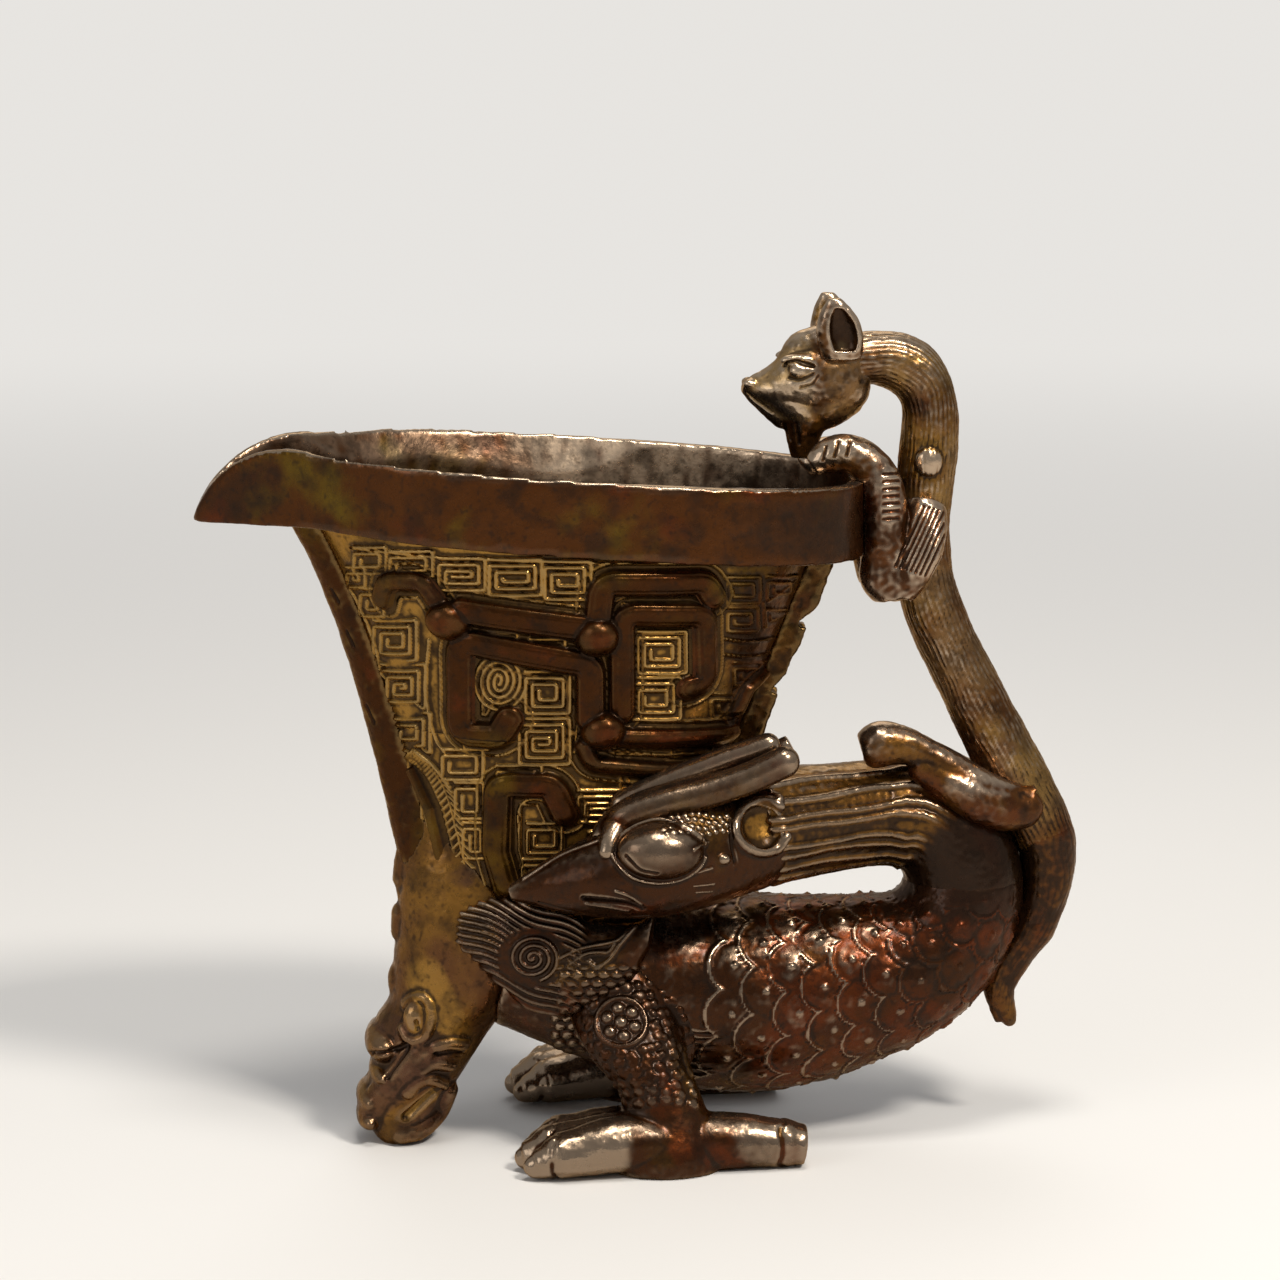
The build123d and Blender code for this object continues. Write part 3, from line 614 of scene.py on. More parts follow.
# %% [markdown]
# ## The chaser's bench
#
# A chaser works with a few punches: a liner for grooves, a planisher for bands and a dapping punch for domes.
# The class below does the same to a mesh. A line is drawn on the picture and dropped on the piece along the
# line of sight; each punch then raises or sinks the points near that line along their normals. Raised work
# takes the higher of two strokes, as metal does, so crossing lines do not pile up. At the end the bench adds
# a little unevenness and works out the two attributes. Ridges are worn by as much as wear says, faces that
# look up are lightened as polish and as a painted highlight, and shade darkens chosen places and lightens
# those where it is below zero; many of these are painted shade and painted highlights.

# %% The bench and its punches
EDGE = 1.2
OUTLINE_GAP = 0.75
OUTLINE_HALF = 0.42
CHASED_DEPTH = 0.12
CHASED_PLACE = 0.62
CHASED_HALF = 0.16
LUMP_SIZE = 4.5
LUMP_HEIGHT = 0.2
GRAIN_SIZE = 1.0
GRAIN_HEIGHT = 0.07
HOLLOW_ROUNDS = 14
HOLLOW_FULL = 0.16
POLISH_AND_HIGHLIGHT = 0.45
POLISH_AND_HIGHLIGHT_FACING = (0.2, 0.9)
TINY = 1e-9


class Casting:
    """A piece on the bench: its points in millimetres, and how far each is raised or cut."""

    def __init__(self, piece):
        self.piece = piece
        self.points = vectors(piece.data.vertices, "co")
        self.normals = vectors(piece.data.vertex_normals, "vector")
        self.raised = np.zeros(len(self.points))
        self.cut = np.zeros(len(self.points))
        self.ground = np.zeros(len(self.points))
        self.hidden = np.zeros(len(self.points), bool)
        self.unevenness = 1.0
        self.wear = np.ones(len(self.points))
        self.shade = np.zeros(len(self.points))
        form = bmesh.new()
        form.from_mesh(piece.data)
        self.tree = BVHTree.FromBMesh(form)
        form.free()

    def lay(self, pixels, steps=6):
        """A line drawn on the picture, dropped on the piece."""
        rays = [photo_ray(pixel) for pixel in curve(pixels, steps)]
        line = [self.tree.ray_cast(CAMERA_PLACE, ray)[0] for ray in rays]
        return np.array([place for place in line if place is not None]).reshape(-1, 3)

    def spot(self, pixel):
        """One place, as a line with a single point."""
        return self.lay((pixel, pixel), steps=1)[:1]

    def near(self, line, reach):
        """The points within reach of a line, and how far off they are."""
        inside = (self.points > line.min(0) - reach) & (self.points < line.max(0) + reach)
        index = np.flatnonzero(inside.all(1))
        spots = self.points[index]
        gap = np.full(len(index), np.inf)
        for start, end in zip(line[:-1], line[1:]):
            run = end - start
            length = max(np.linalg.norm(run), TINY)
            share = np.clip((spots - start) @ run / length**2, 0, 1)
            off = np.linalg.norm(spots - start - share[:, None] * run, axis=1)
            gap = np.minimum(gap, off)
        keep = gap < reach
        return index[keep], gap[keep]

    def line(self, path, width, height, both=False):
        """A raised line, or a groove where the height is below zero."""
        for side in (path, path * FAR_SIDE) if both else (path,):
            if len(side) < 2:
                continue
            index, gap = self.near(side, width / 2)
            rise = height * bell(gap / (width / 2))
            if height > 0:
                self.raised[index] = np.maximum(self.raised[index], rise)
            else:
                self.cut[index] = np.minimum(self.cut[index], rise)

    def band(self, path, width, height, outline):
        """A raised band with a rounded back, a groove inside either edge and a fine line beside it."""
        index, gap = self.near(path, width / 2 + EDGE + 2 * OUTLINE_GAP)
        back = 0.5 + 0.5 * np.clip(1 - (2 * gap / width) ** 2, 0, 1)
        top = height * back * ramp((width / 2 + EDGE / 2 - gap) / EDGE)
        top -= CHASED_DEPTH * bell((2 * gap / width - CHASED_PLACE) / CHASED_HALF)
        beside = outline * bell((gap - width / 2 - EDGE / 2 - OUTLINE_GAP) / OUTLINE_HALF)
        self.raised[index] = np.maximum(self.raised[index], np.maximum(top, beside))

    def dome(self, place, radius, height, both=False):
        """A boss, or a dish where the height is below zero."""
        for side in (place, place * FAR_SIDE) if both else (place,):
            if len(side) == 0:
                continue
            gap = np.linalg.norm(self.points - side[0], axis=1)
            rise = height * np.sqrt(np.clip(1 - (gap / radius) ** 2, 0, None))
            if height > 0:
                self.raised = np.maximum(self.raised, rise)
            else:
                self.cut = np.minimum(self.cut, rise)

    def finish(self, slot, *stands_for):
        """Moves the points, writes the two attributes and hands the piece over to its body."""
        mesh = self.piece.data
        skin = LUMP_HEIGHT * uneven(self.points, LUMP_SIZE) + GRAIN_HEIGHT * uneven(self.points, GRAIN_SIZE)
        height = np.where(self.hidden, 0.0, self.raised + self.cut + self.unevenness * skin)
        moved = self.points + self.normals * height[:, None]
        moved[:, 2] = np.maximum(moved[:, 2], 0.0)
        pairs = np.empty(len(mesh.edges) * 2, np.int32)
        mesh.edges.foreach_get("vertices", pairs)
        pairs = pairs.reshape(-1, 2)
        pairs = pairs[~self.hidden[pairs].any(1)]
        sunk = averaged(moved, pairs, HOLLOW_ROUNDS) - moved
        # Below zero on ridges, above zero in grooves; painted shade and painted highlights are added below.
        hollow_and_shade = np.where(self.hidden, 0.0, np.clip((sunk * self.normals).sum(1) / HOLLOW_FULL, -1, 1))
        hollow_and_shade = np.where(hollow_and_shade < 0, hollow_and_shade * self.wear, hollow_and_shade)
        # Faces that look up are lightened: polish, and a painted highlight from the light above.
        polish_and_highlight = POLISH_AND_HIGHLIGHT * between(self.normals[:, 2], *POLISH_AND_HIGHLIGHT_FACING)
        hollow_and_shade = np.clip(hollow_and_shade + self.shade - polish_and_highlight, -1, 1)
        mesh.vertices.foreach_set("co", (moved * MM).astype(np.float32).ravel())
        for name, values in (("hollow_and_shade", hollow_and_shade), ("ground", self.ground)):
            mesh.attributes.new(name, "FLOAT", "POINT").data.foreach_set("value", values.astype(np.float32))
        mesh.update()
        return hand_over(self.piece, slot, *stands_for)


print("bench ready, a groove is black at", HOLLOW_FULL, "mm")

# %% [markdown]
# ## Following a limb
#
# Scales, hair and neck ribs run along a limb and round it. For these each point is measured against the
# limb's middle line: how far along it lies, and at what turn round it, counted from the near side up.
# Patterns written in these two numbers bend with the limb, as they do on the casting.

# %% Measuring along and round a limb


def along_limb(points, middle):
    """Distance along a limb's middle line, turn round it and distance from it, for every point."""
    gap = np.full(len(points), np.inf)
    along = np.zeros(len(points))
    turn = np.zeros(len(points))
    way = 0.0
    for start, end in zip(middle[:-1], middle[1:]):
        run = end - start
        length = np.linalg.norm(run)
        aim = run / length
        up = np.cross(aim, (0.0, 1.0, 0.0))
        up /= np.linalg.norm(up)
        share = np.clip((points - start) @ run / length**2, 0, 1)
        offset = points - start - share[:, None] * run
        off = np.linalg.norm(offset, axis=1)
        closer = off < gap
        along = np.where(closer, way + share * length, along)
        turn = np.where(closer, np.arctan2(offset @ up, -offset[:, 1]), turn)
        gap = np.where(closer, off, gap)
        way += length
    return along, turn, gap


def hair(casting, along, turn, strands, depth, tuft):
    """Fine strokes along a limb that break off and start again, as a chaser cuts hair."""
    lean = 1.3 * np.sin(along * 0.31 + 2 * turn) + 0.6 * np.sin(along * 0.83 - 3 * turn)
    stroke = np.abs(np.sin((strands * turn + lean) / 2))
    broken = ramp(0.6 + 0.7 * np.sin(2 * math.pi * along / tuft + 4 * np.sin(2.5 * turn + 0.2 * along)))
    casting.cut -= depth * (1 - ramp(stroke / 0.75)) * (0.35 + 0.65 * broken)


print("limbs are measured from the near side, turning up")

# %% [markdown]
# ## The patterned wall of the horn
#
# The horn's outside is covered with cast relief: broad hooked bands with bosses, on a ground of square
# spirals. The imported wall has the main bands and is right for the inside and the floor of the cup, so it
# stays. The full relief is a sheet laid over its outside. A grid suits this better than a remesh, because
# its rows and columns follow the horn and can be as fine as the thinnest line needs. It is split at half
# height to keep each sheet light, and closed at the back inside the wall.

# %% The horn's surface as a formula
FOOT_Z = 40.0
FOOT_FRONT = -35.0
FOOT_REAR = 4.0
FOOT_HALF = 9.5
SHOULDER_Z = 104.4
SHOULDER_FRONT = -53.0
SHOULDER_REAR = 30.0
SHOULDER_HALF = 28.4
FRONT_FLARE = 0.25
TURN_STEPS = 721


def horn_ends(z):
    """Front end, rear end and half width of the horn at a height."""
    rise = (z - FOOT_Z) / (SHOULDER_Z - FOOT_Z)
    flare = (1 - FRONT_FLARE) * rise + FRONT_FLARE * rise**4
    front = FOOT_FRONT + (SHOULDER_FRONT - FOOT_FRONT) * flare
    rear = FOOT_REAR + (SHOULDER_REAR - FOOT_REAR) * rise
    half = FOOT_HALF + (SHOULDER_HALF - FOOT_HALF) * rise
    return front, rear, half


def horn_surface(turn, z, inset):
    """Points on the horn at a turn from the rear round the near side to the front."""
    front, rear, half = horn_ends(z)
    x = (front + rear) / 2 + ((rear - front) / 2 - inset) * np.cos(turn)
    return np.column_stack([x, -(half - inset) * np.sin(turn), z])


def even_turns(share):
    """Turns that divide the half oval at mid height into equal lengths."""
    turns = np.linspace(0, math.pi, TURN_STEPS)
    middle_z = np.full(len(turns), (FOOT_Z + SHOULDER_Z) / 2)
    steps = np.linalg.norm(np.diff(horn_surface(turns, middle_z, 0.0), axis=0), axis=1)
    length = np.concatenate([[0.0], np.cumsum(steps)])
    return np.interp(share * length[-1], length, turns)


print("horn at its shoulder:", SHOULDER_REAR - SHOULDER_FRONT, "by", 2 * SHOULDER_HALF, "mm")

# %% [markdown]
# The sheet is a flat grid first, with a second, coarse grid behind it and the borders closed, and is then
# bent round the horn. Its upper border follows the sloping seam under the lip.

# %% A closed sheet on the horn
SEAM_SLOPE = -0.07
SEAM_ROUNDS = 5
SHEET_BACK = 1.2
BORDER_NEAR = 1e-5
GUIDE_COLUMNS = 220
GUIDE_ROWS = 130


def wall_sheet(name, low, high, columns, rows):
    """A closed thin sheet on the near half of the horn, between two shares of its height, on the bench."""
    form = bmesh.new()
    behind = Matrix.Translation((0, 0, -1))
    bmesh.ops.create_grid(form, x_segments=columns, y_segments=rows, size=0.5)
    bmesh.ops.create_grid(form, x_segments=columns, y_segments=2, size=0.5, matrix=behind)
    for level in (-0.5, 0.5):
        border = [edge for edge in form.edges
                  if all(abs(vert.co.y - level) < BORDER_NEAR for vert in edge.verts)]
        bmesh.ops.bridge_loops(form, edges=border)
    bmesh.ops.holes_fill(form, edges=[edge for edge in form.edges if edge.is_boundary], sides=0)
    mesh = bpy.data.meshes.new(name)
    form.to_mesh(mesh)
    flat = vectors(mesh.vertices, "co")
    share = low + (high - low) * (flat[:, 1] + 0.5)
    hidden = flat[:, 2] < -0.5
    inset = np.where(hidden, SHEET_BACK, 0.0)
    turn = even_turns(flat[:, 0] + 0.5)
    z = FOOT_Z + (SHOULDER_Z - FOOT_Z) * share
    for _ in range(SEAM_ROUNDS):
        top = SHOULDER_Z + SEAM_SLOPE * horn_surface(turn, z, inset)[:, 0]
        z = FOOT_Z + (top - FOOT_Z) * share
    mesh.vertices.foreach_set("co", horn_surface(turn, z, inset).astype(np.float32).ravel())
    form.clear()
    form.from_mesh(mesh)
    bmesh.ops.recalc_face_normals(form, faces=form.faces)
    form.to_mesh(mesh)
    form.free()
    sheet = bpy.data.objects.new(name, mesh)
    bpy.context.scene.collection.objects.link(sheet)
    bench = Casting(sheet)
    outward = horn_surface(turn, z, -1.0) - horn_surface(turn, z, 0.0)
    bench.normals = outward / np.linalg.norm(outward, axis=1)[:, None]
    bench.hidden = hidden
    return bench


guide = wall_sheet("guide", 0.0, 1.0, GUIDE_COLUMNS, GUIDE_ROWS)
print("coarse copy of the wall:", len(guide.points), "points")

# %% [markdown]
# The hooked bands are placed by shares of the horn's length and height, the same shares as in the packed
# wall. Each has a width in millimetres, a rounded back that falls off softly, a shallow chased groove inside
# either edge, and a fine raised line beside it, which catches the light. Plain lines are drawn on the
# picture.

# %% Bands, bosses and plain lines
BAND_BEND = 2.5
BAND_HEIGHT = 1.95
BAND_OUTLINE = 0.5
BOSS_RADIUS = 3.7
BOSS_HEIGHT = 4.3
HOOKED_BANDS = {
    "left_hook": (3.6, ((0.08, 0.875), (0.105, 0.93), (0.18, 0.94), (0.21, 0.855))),
    "upper_bar": (4.8, ((0.25, 0.865), (0.505, 0.825))),
    "inner_loop": (4.8, ((0.54, 0.575), (0.525, 0.725), (0.23, 0.785), (0.195, 0.525), (0.30, 0.525),
                         (0.33, 0.575))),
    "outer_arch": (4.6, ((0.535, 0.845), (0.54, 0.945), (0.75, 0.935), (0.78, 0.89))),
    "inner_arch": (4.4, ((0.62, 0.59), (0.585, 0.86), (0.77, 0.845), (0.825, 0.65), (0.78, 0.645))),
    "lower_leaf": (3.7, ((0.63, 0.52), (0.96, 0.49))),
    "under_leaf": (3.0, ((0.53, 0.50), (0.56, 0.45), (0.77, 0.42), (0.97, 0.405))),
    "rear_arch": (2.4, ((0.945, 0.555), (0.95, 0.61), (0.985, 0.64))),
    "lower_scroll": (4.8, ((0.50, 0.31), (0.45, 0.39), (0.29, 0.39), (0.275, 0.20), (0.31, 0.095))),
    "rear_scroll": (3.6, ((0.70, 0.27), (0.74, 0.35), (0.90, 0.34), (0.90, 0.20))),
    "lappet_core": (2.0, ((0.045, 0.40), (0.075, 0.30), (0.09, 0.08))),
}
BOSSES = ((0.215, 0.835), (0.535, 0.80), (0.575, 0.54))
LINE_WIDTH = 0.8
LINE_HEIGHT = 0.55
PLAIN_LINES = {
    "front_border": ((313, 543), (339, 573), (359, 601), (377, 645), (385, 693), (389, 742)),
    "left_strip": ((430, 640), (427, 690), (436, 735), (446, 752)),
    "lappet_edge": ((416, 858), (401, 806), (394, 766), (402, 751), (416, 754), (431, 766), (446, 788),
                    (458, 828), (470, 880), (480, 912)),
    "rear_line_upper": ((721, 638), (745, 641), (772, 637), (794, 627)),
    "rear_line_lower": ((721, 654), (746, 656), (772, 652), (786, 647)),
    "rear_curl": ((729, 712), (734, 698), (743, 685), (755, 677), (769, 671)),
    "rear_curl_inner": ((748, 712), (756, 695), (768, 684)),
    "mid_divider": ((576, 672), (578, 710), (574, 752)),
    "under_rim": ((352, 548), (440, 557), (560, 562), (700, 563), (820, 561)),
    "scroll_shadow": ((520, 842), (519, 812), (528, 800), (546, 801), (560, 815)),
    "boss_curl_left": ((449, 609), (456, 615), (453, 624), (446, 622)),
    "boss_curl_upper": ((586, 632), (595, 627), (604, 633), (603, 643), (594, 645)),
    "boss_curl_lower": ((590, 726), (599, 720), (609, 726), (608, 736), (599, 738), (594, 731)),
}
print("listed:", len(HOOKED_BANDS), "bands,", len(BOSSES), "bosses and", len(PLAIN_LINES), "lines")

# %% [markdown]
# Before anything is cut, each band becomes a line of points on the horn. Its corners are rounded in the side
# view first, and the width of the horn at that place then gives the third coordinate.

# %% From lists to strokes on the wall
CORNER_STEPS = 7
RUN_STEPS = 5


def rounded(corners, bend):
    """Points along straight runs whose corners are rounded off."""
    corners = np.array(corners)
    line = [corners[0]]
    for before, corner, after in zip(corners, corners[1:], corners[2:]):
        back = (before - corner) / np.linalg.norm(before - corner)
        ahead = (after - corner) / np.linalg.norm(after - corner)
        half_turn = math.acos(np.clip(-back @ ahead, -1, 1)) / 2
        start = corner + back * bend * math.tan(half_turn)
        end = corner + ahead * bend * math.tan(half_turn)
        for share in np.linspace(0, 1, CORNER_STEPS):
            line.append(start * (1 - share) ** 2 + 2 * corner * share * (1 - share) + end * share**2)
    return np.array(line + [corners[-1]])


def wall_places(shares, bend=BAND_BEND):
    """A rounded line on the near wall through places given by shares of length and height."""
    z = FOOT_Z + (SHOULDER_Z - FOOT_Z) * np.array(shares)[:, 1]
    front, rear, _ = horn_ends(z)
    x = front + (rear - front) * np.array(shares)[:, 0]
    side = rounded(np.column_stack([x, z]), bend)
    runs = [np.linspace(start, end, RUN_STEPS)[:-1] for start, end in zip(side, side[1:])]
    side = np.vstack(runs + [side[-1:]])
    front, rear, half = horn_ends(side[:, 1])
    off_centre = (2 * side[:, 0] - front - rear) / (rear - front)
    return np.column_stack([side[:, 0], -half * np.sqrt(np.clip(1 - off_centre**2, 0, 1)), side[:, 1]])


band_strokes = [(wall_places(shares), width, BAND_HEIGHT, BAND_OUTLINE)
                for width, shares in HOOKED_BANDS.values()]
boss_strokes = [(wall_places((place, place), 0.0)[:1], BOSS_RADIUS, BOSS_HEIGHT) for place in BOSSES]
line_strokes = [(guide.lay(pixels), LINE_WIDTH, LINE_HEIGHT) for pixels in PLAIN_LINES.values()]
print("bands:", len(band_strokes), "bosses:", len(boss_strokes), "lines:", len(line_strokes))

# %% [markdown]
# The ground is filled with square spirals, the thunder pattern of old bronzes. They are drawn on the picture,
# in pixels. One function draws a spiral from its outer corner inwards, so a cell is only a middle and a size.
# An image texture could carry the pattern too, but then it would be flat.

# %% Square spirals
FRET_PITCH = 6.6
FRET_WIDTH = 1.2
FRET_BEND = 2.4
FRET_HEIGHT = 0.6
WORN_HEIGHT = 0.35
FRETS = ((372, 560, 32, 26), (413, 564, 42, 26), (463, 574, 46, 32), (516, 577, 52, 36), (568, 580, 46, 38),
         (397, 640, 42, 40), (405, 686, 44, 44), (411, 732, 42, 40), (548, 692, 44, 42), (545, 741, 50, 46),
         (661, 652, 48, 42), (655, 698, 48, 42), (464, 764, 40, 30), (471, 800, 28, 36), (477, 840, 24, 36),
         (545, 838, 34, 30), (411, 812, 26, 48), (544, 877, 42, 36), (374, 602, 24, 28), (358, 577, 18, 20),
         (548, 652, 34, 26), (503, 640, 30, 14), (520, 776, 44, 22), (478, 740, 24, 18),
         (660, 835, 38, 36), (612, 850, 44, 36), (600, 806, 44, 32), (655, 880, 40, 32), (592, 892, 36, 30))
WORN_FRETS = ((742, 590, 34, 26), (781, 588, 30, 24), (742, 619, 30, 24), (777, 615, 30, 24),
              (806, 600, 20, 26), (748, 674, 30, 24), (782, 660, 24, 22), (728, 706, 34, 26),
              (762, 700, 26, 22), (728, 800, 30, 40), (640, 775, 40, 26), (690, 748, 40, 18))


def fret(middle_x, middle_y, width, height):
    """Corners of a square spiral, from outside in."""
    corners = []
    ring = 0.0
    while min(width, height) / 2 - ring > 0.3 * FRET_PITCH:
        left, right = middle_x - width / 2 + ring, middle_x + width / 2 - ring
        top, bottom = middle_y - height / 2 + ring, middle_y + height / 2 - ring
        corners += [(left, top), (right, top), (right, bottom), (left, bottom)]
        corners += [(left, min(top + FRET_PITCH, bottom))]
        ring += FRET_PITCH
    return corners


print("spirals:", len(FRETS), "sharp and", len(WORN_FRETS), "worn")

# %% [markdown]
# The spirals are dropped on the coarse copy of the wall, corner by corner, and become strokes like the
# others. An oval spiral fills the loop of the band, and a herringbone follows the edge of the lappet at the
# lower left.

# %% Drop the spirals on the wall
FRET_OVAL = (500, 681, 27, 30)
OVAL_TURNS = 4.3
OVAL_STEPS = 90
HATCH_LEAN = 7
HATCH_REACH = (-8, 1)
LAPPET_HATCHED = 4


def dropped(pixels):
    """Pixels dropped on the wall one by one, without rounding."""
    hits = [guide.tree.ray_cast(CAMERA_PLACE, photo_ray(pixel))[0] for pixel in pixels]
    return np.array([hit for hit in hits if hit is not None]).reshape(-1, 3)


fret_strokes = [dropped(rounded(fret(*cell), FRET_BEND)) for cell in FRETS]
sweep = np.linspace(0, 1, OVAL_STEPS)
oval_x, oval_y, oval_wide, oval_tall = FRET_OVAL
oval = np.column_stack([oval_x + oval_wide * (1 - sweep) * np.cos(2 * math.pi * OVAL_TURNS * sweep),
                        oval_y + oval_tall * (1 - 0.9 * sweep) * np.sin(2 * math.pi * OVAL_TURNS * sweep)])
fret_strokes.append(dropped(oval))
for x, y in curve(PLAIN_LINES["lappet_edge"][LAPPET_HATCHED:], steps=6):
    for reach, lean in zip(HATCH_REACH, (-HATCH_LEAN, HATCH_LEAN)):
        fret_strokes.append(dropped(((x + reach, y - lean / 2), (x + reach + HATCH_LEAN, y + lean / 2))))
line_strokes += [(stroke, FRET_WIDTH, FRET_HEIGHT) for stroke in fret_strokes]
worn_strokes = [dropped(rounded(fret(*cell), FRET_BEND)) for cell in WORN_FRETS]
line_strokes += [(stroke, FRET_WIDTH, WORN_HEIGHT) for stroke in worn_strokes]
bpy.data.objects.remove(guide.piece)
print("lines and spirals:", len(line_strokes))

# %% [markdown]
# Now the strokes are worked into the sheets. The ground between the bands keeps golden dust, less of it
# towards the rear, where the metal turns red. The bosses are rubbed clean. The far sheets are mirrored.

# %% Chase the sheets
SHEET_COLUMNS = 420
SHEET_ROWS = 160
SHEET_PARTS = {"lower": (0.0, 0.5), "upper": (0.5, 1.0)}
GROUND_LIFT = 0.12
BAND_RISE = (0.0, 0.8)
DUST_ENDS_X = (6.0, 18.0)
RED_STARTS_X = (12.0, 20.0)
BORDER_ANGLE = math.radians(75)

for part, shares in SHEET_PARTS.items():
    bench = wall_sheet(f"cup_relief_{part}_near", *shares, SHEET_COLUMNS, SHEET_ROWS)
    x = bench.points[:, 0]
    for stroke in band_strokes:
        bench.band(*stroke)
    for stroke in boss_strokes:
        bench.dome(*stroke)
    bench.ground = 1 - between(bench.raised, *BAND_RISE)
    bench.ground *= 1 - 0.8 * between(x, *DUST_ENDS_X)
    bench.ground -= 0.5 * between(x, *RED_STARTS_X)
    bench.wear = 0.3 + 0.7 * np.clip(bench.ground, 0, 1)
    for place, radius, _ in boss_strokes:
        gap = np.linalg.norm(bench.points - place[0], axis=1)
        bench.ground -= 0.8 * bell(gap / (1.2 * radius))
    for stroke in line_strokes:
        bench.line(*stroke)
    bench.raised += GROUND_LIFT
    bench.unevenness = 0.6
    near_sheet = bench.finish("patterned_bronze")
    near_sheet.data.set_sharp_from_angle(angle=BORDER_ANGLE)
    far_twin(near_sheet, f"cup_relief_{part}_far", "patterned_bronze")

# %% [markdown]
# ## The flanges
#
# A keel runs up the front of the horn and a hooked flange up its back. Flanges like these hide the seams of
# the mould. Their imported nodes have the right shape, so a remesh that softens the edges is enough, with a
# few notches on the keel. The rear flange is worn uneven, so it gets more of the bench's lumpy skin.

# %% Front keel and rear hooks
FLANGE_GRAIN = 0.36
KEEL_NOTCHES = (((346, 632), (353, 646)), ((366, 706), (374, 722)), ((331, 590), (338, 602)))
NOTCH_WIDTH = 1.2
NOTCH_DEPTH = -0.4

bench = Casting(melt("front_keel", node_form("front_flange"), FLANGE_GRAIN))
for pixels in KEEL_NOTCHES:
    bench.line(bench.lay(pixels), NOTCH_WIDTH, NOTCH_DEPTH, both=True)
bench.wear *= 0.5
bench.finish("patterned_bronze", "front_flange")

bench = Casting(melt("rear_hooks", node_form("rear_flange"), FLANGE_GRAIN, 6))
bench.unevenness = 2.5
bench.wear *= 0.4
bench.ground += 0.2
bench.finish("patterned_bronze", "rear_flange")

# %% [markdown]
# ## The lip
#
# The band round the mouth is plain metal. Its inside is paler towards the handle, partly brushed metal and
# partly painted light where the inner wall faces the light; its top edge is lightened as wear and as a
# painted highlight; and the spout and the end under the beast are darker. That is all tone and no shape, so it
# is written into the two attributes, by where a point lies and which way it faces.

# %% Lip band with its spout
LIP_GRAIN = 0.5
BRUSH_SIZE = 2.2
INWARD_FACING = (0.2, 0.7)
BRUSHED_AND_LIT_X = (-24.0, -8.0)
DARK_END_X = (2.0, 28.0)
DARK_SPOUT_X = (-56.0, -64.0)
EDGE_FACING = 0.6
EDGE_WEAR_AND_HIGHLIGHT = -0.55

bench = Casting(melt("lip", node_form("rim_band"), LIP_GRAIN, 6))
x, y, _ = bench.points.T
# Inside faces are paler: brushed metal, and painted light where the inner wall is lit.
inward_lit = -y * bench.normals[:, 1] / np.maximum(np.abs(y), 1.0)
brushed = ramp(0.75 + 0.6 * uneven(bench.points * (1.0, 1.0, 0.5), BRUSH_SIZE))
bench.ground = between(inward_lit, *INWARD_FACING) * brushed * (0.3 + 0.7 * between(x, *BRUSHED_AND_LIT_X))
bench.unevenness = 0.6
bench.wear *= 0.25
bench.shade = 0.48 * between(x, *DARK_END_X) + 0.4 * between(x, *DARK_SPOUT_X)
# The top edge is lightened: wear, and a painted highlight.
bench.shade = np.where(bench.normals[:, 2] > EDGE_FACING, EDGE_WEAR_AND_HIGHLIGHT, bench.shade)
bench.finish("lip_bronze", "rim_band")

# %% [markdown]
# ## Wax placed by the picture
#
# The animals are built up like a modeller builds a wax: rolls and lumps are laid on the plain packed form
# and melt into it. Two things say where a lump goes. Where the form is in the way, the line of sight ends
# on it. Where the lump makes the outline itself, the line of sight ends at a chosen depth instead.

# %% Where a line of sight ends
MIRROR = Vector(FAR_SIDE)
FINE_BALL = 5


def on(tree, pixel):
    """The place on a form that a pixel of the picture shows, or None."""
    return tree.ray_cast(CAMERA_PLACE, photo_ray(pixel))[0]


def across(pixel, y):
    """The place at a given depth that a pixel of the picture shows."""
    ray = photo_ray(pixel)
    return CAMERA_PLACE + ray * ((y - CAMERA_PLACE.y) / ray.y)


def lumps(form, tree, pixel, radii, sink=0.0, both=True):
    """A lump of wax where a pixel shows the form, sunk into it, with its twin on the far side."""
    place = on(tree, pixel)
    if place is None:
        return
    place = place + photo_ray(pixel) * sink
    add_lump(form, place, radii, FINE_BALL)
    if both:
        add_lump(form, place * MIRROR, radii, FINE_BALL)


def middle_rolls(form, rolls, steps, widen):
    """Rolls of wax in the middle plane, each a row of pixels with a radius, wider across than high."""
    for roll in rolls:
        for x, y, radius in curve(roll, steps):
            add_lump(form, across((x, y), 0.0), (radius, widen * radius, radius))


pixel_step = across((641, 640), 0.0) - across((640, 640), 0.0)
print("one pixel in the middle plane:", round(pixel_step.length, 3), "mm")

# %% [markdown]
# ## The dragon's head
#
# The head at the front foot stands on its snout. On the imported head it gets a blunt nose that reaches
# across the snout, a stepped crest up its forehead, a ring round the eye, folds on the cheek and lips.
# Rolls that follow the side of the head are laid on both sides at once.

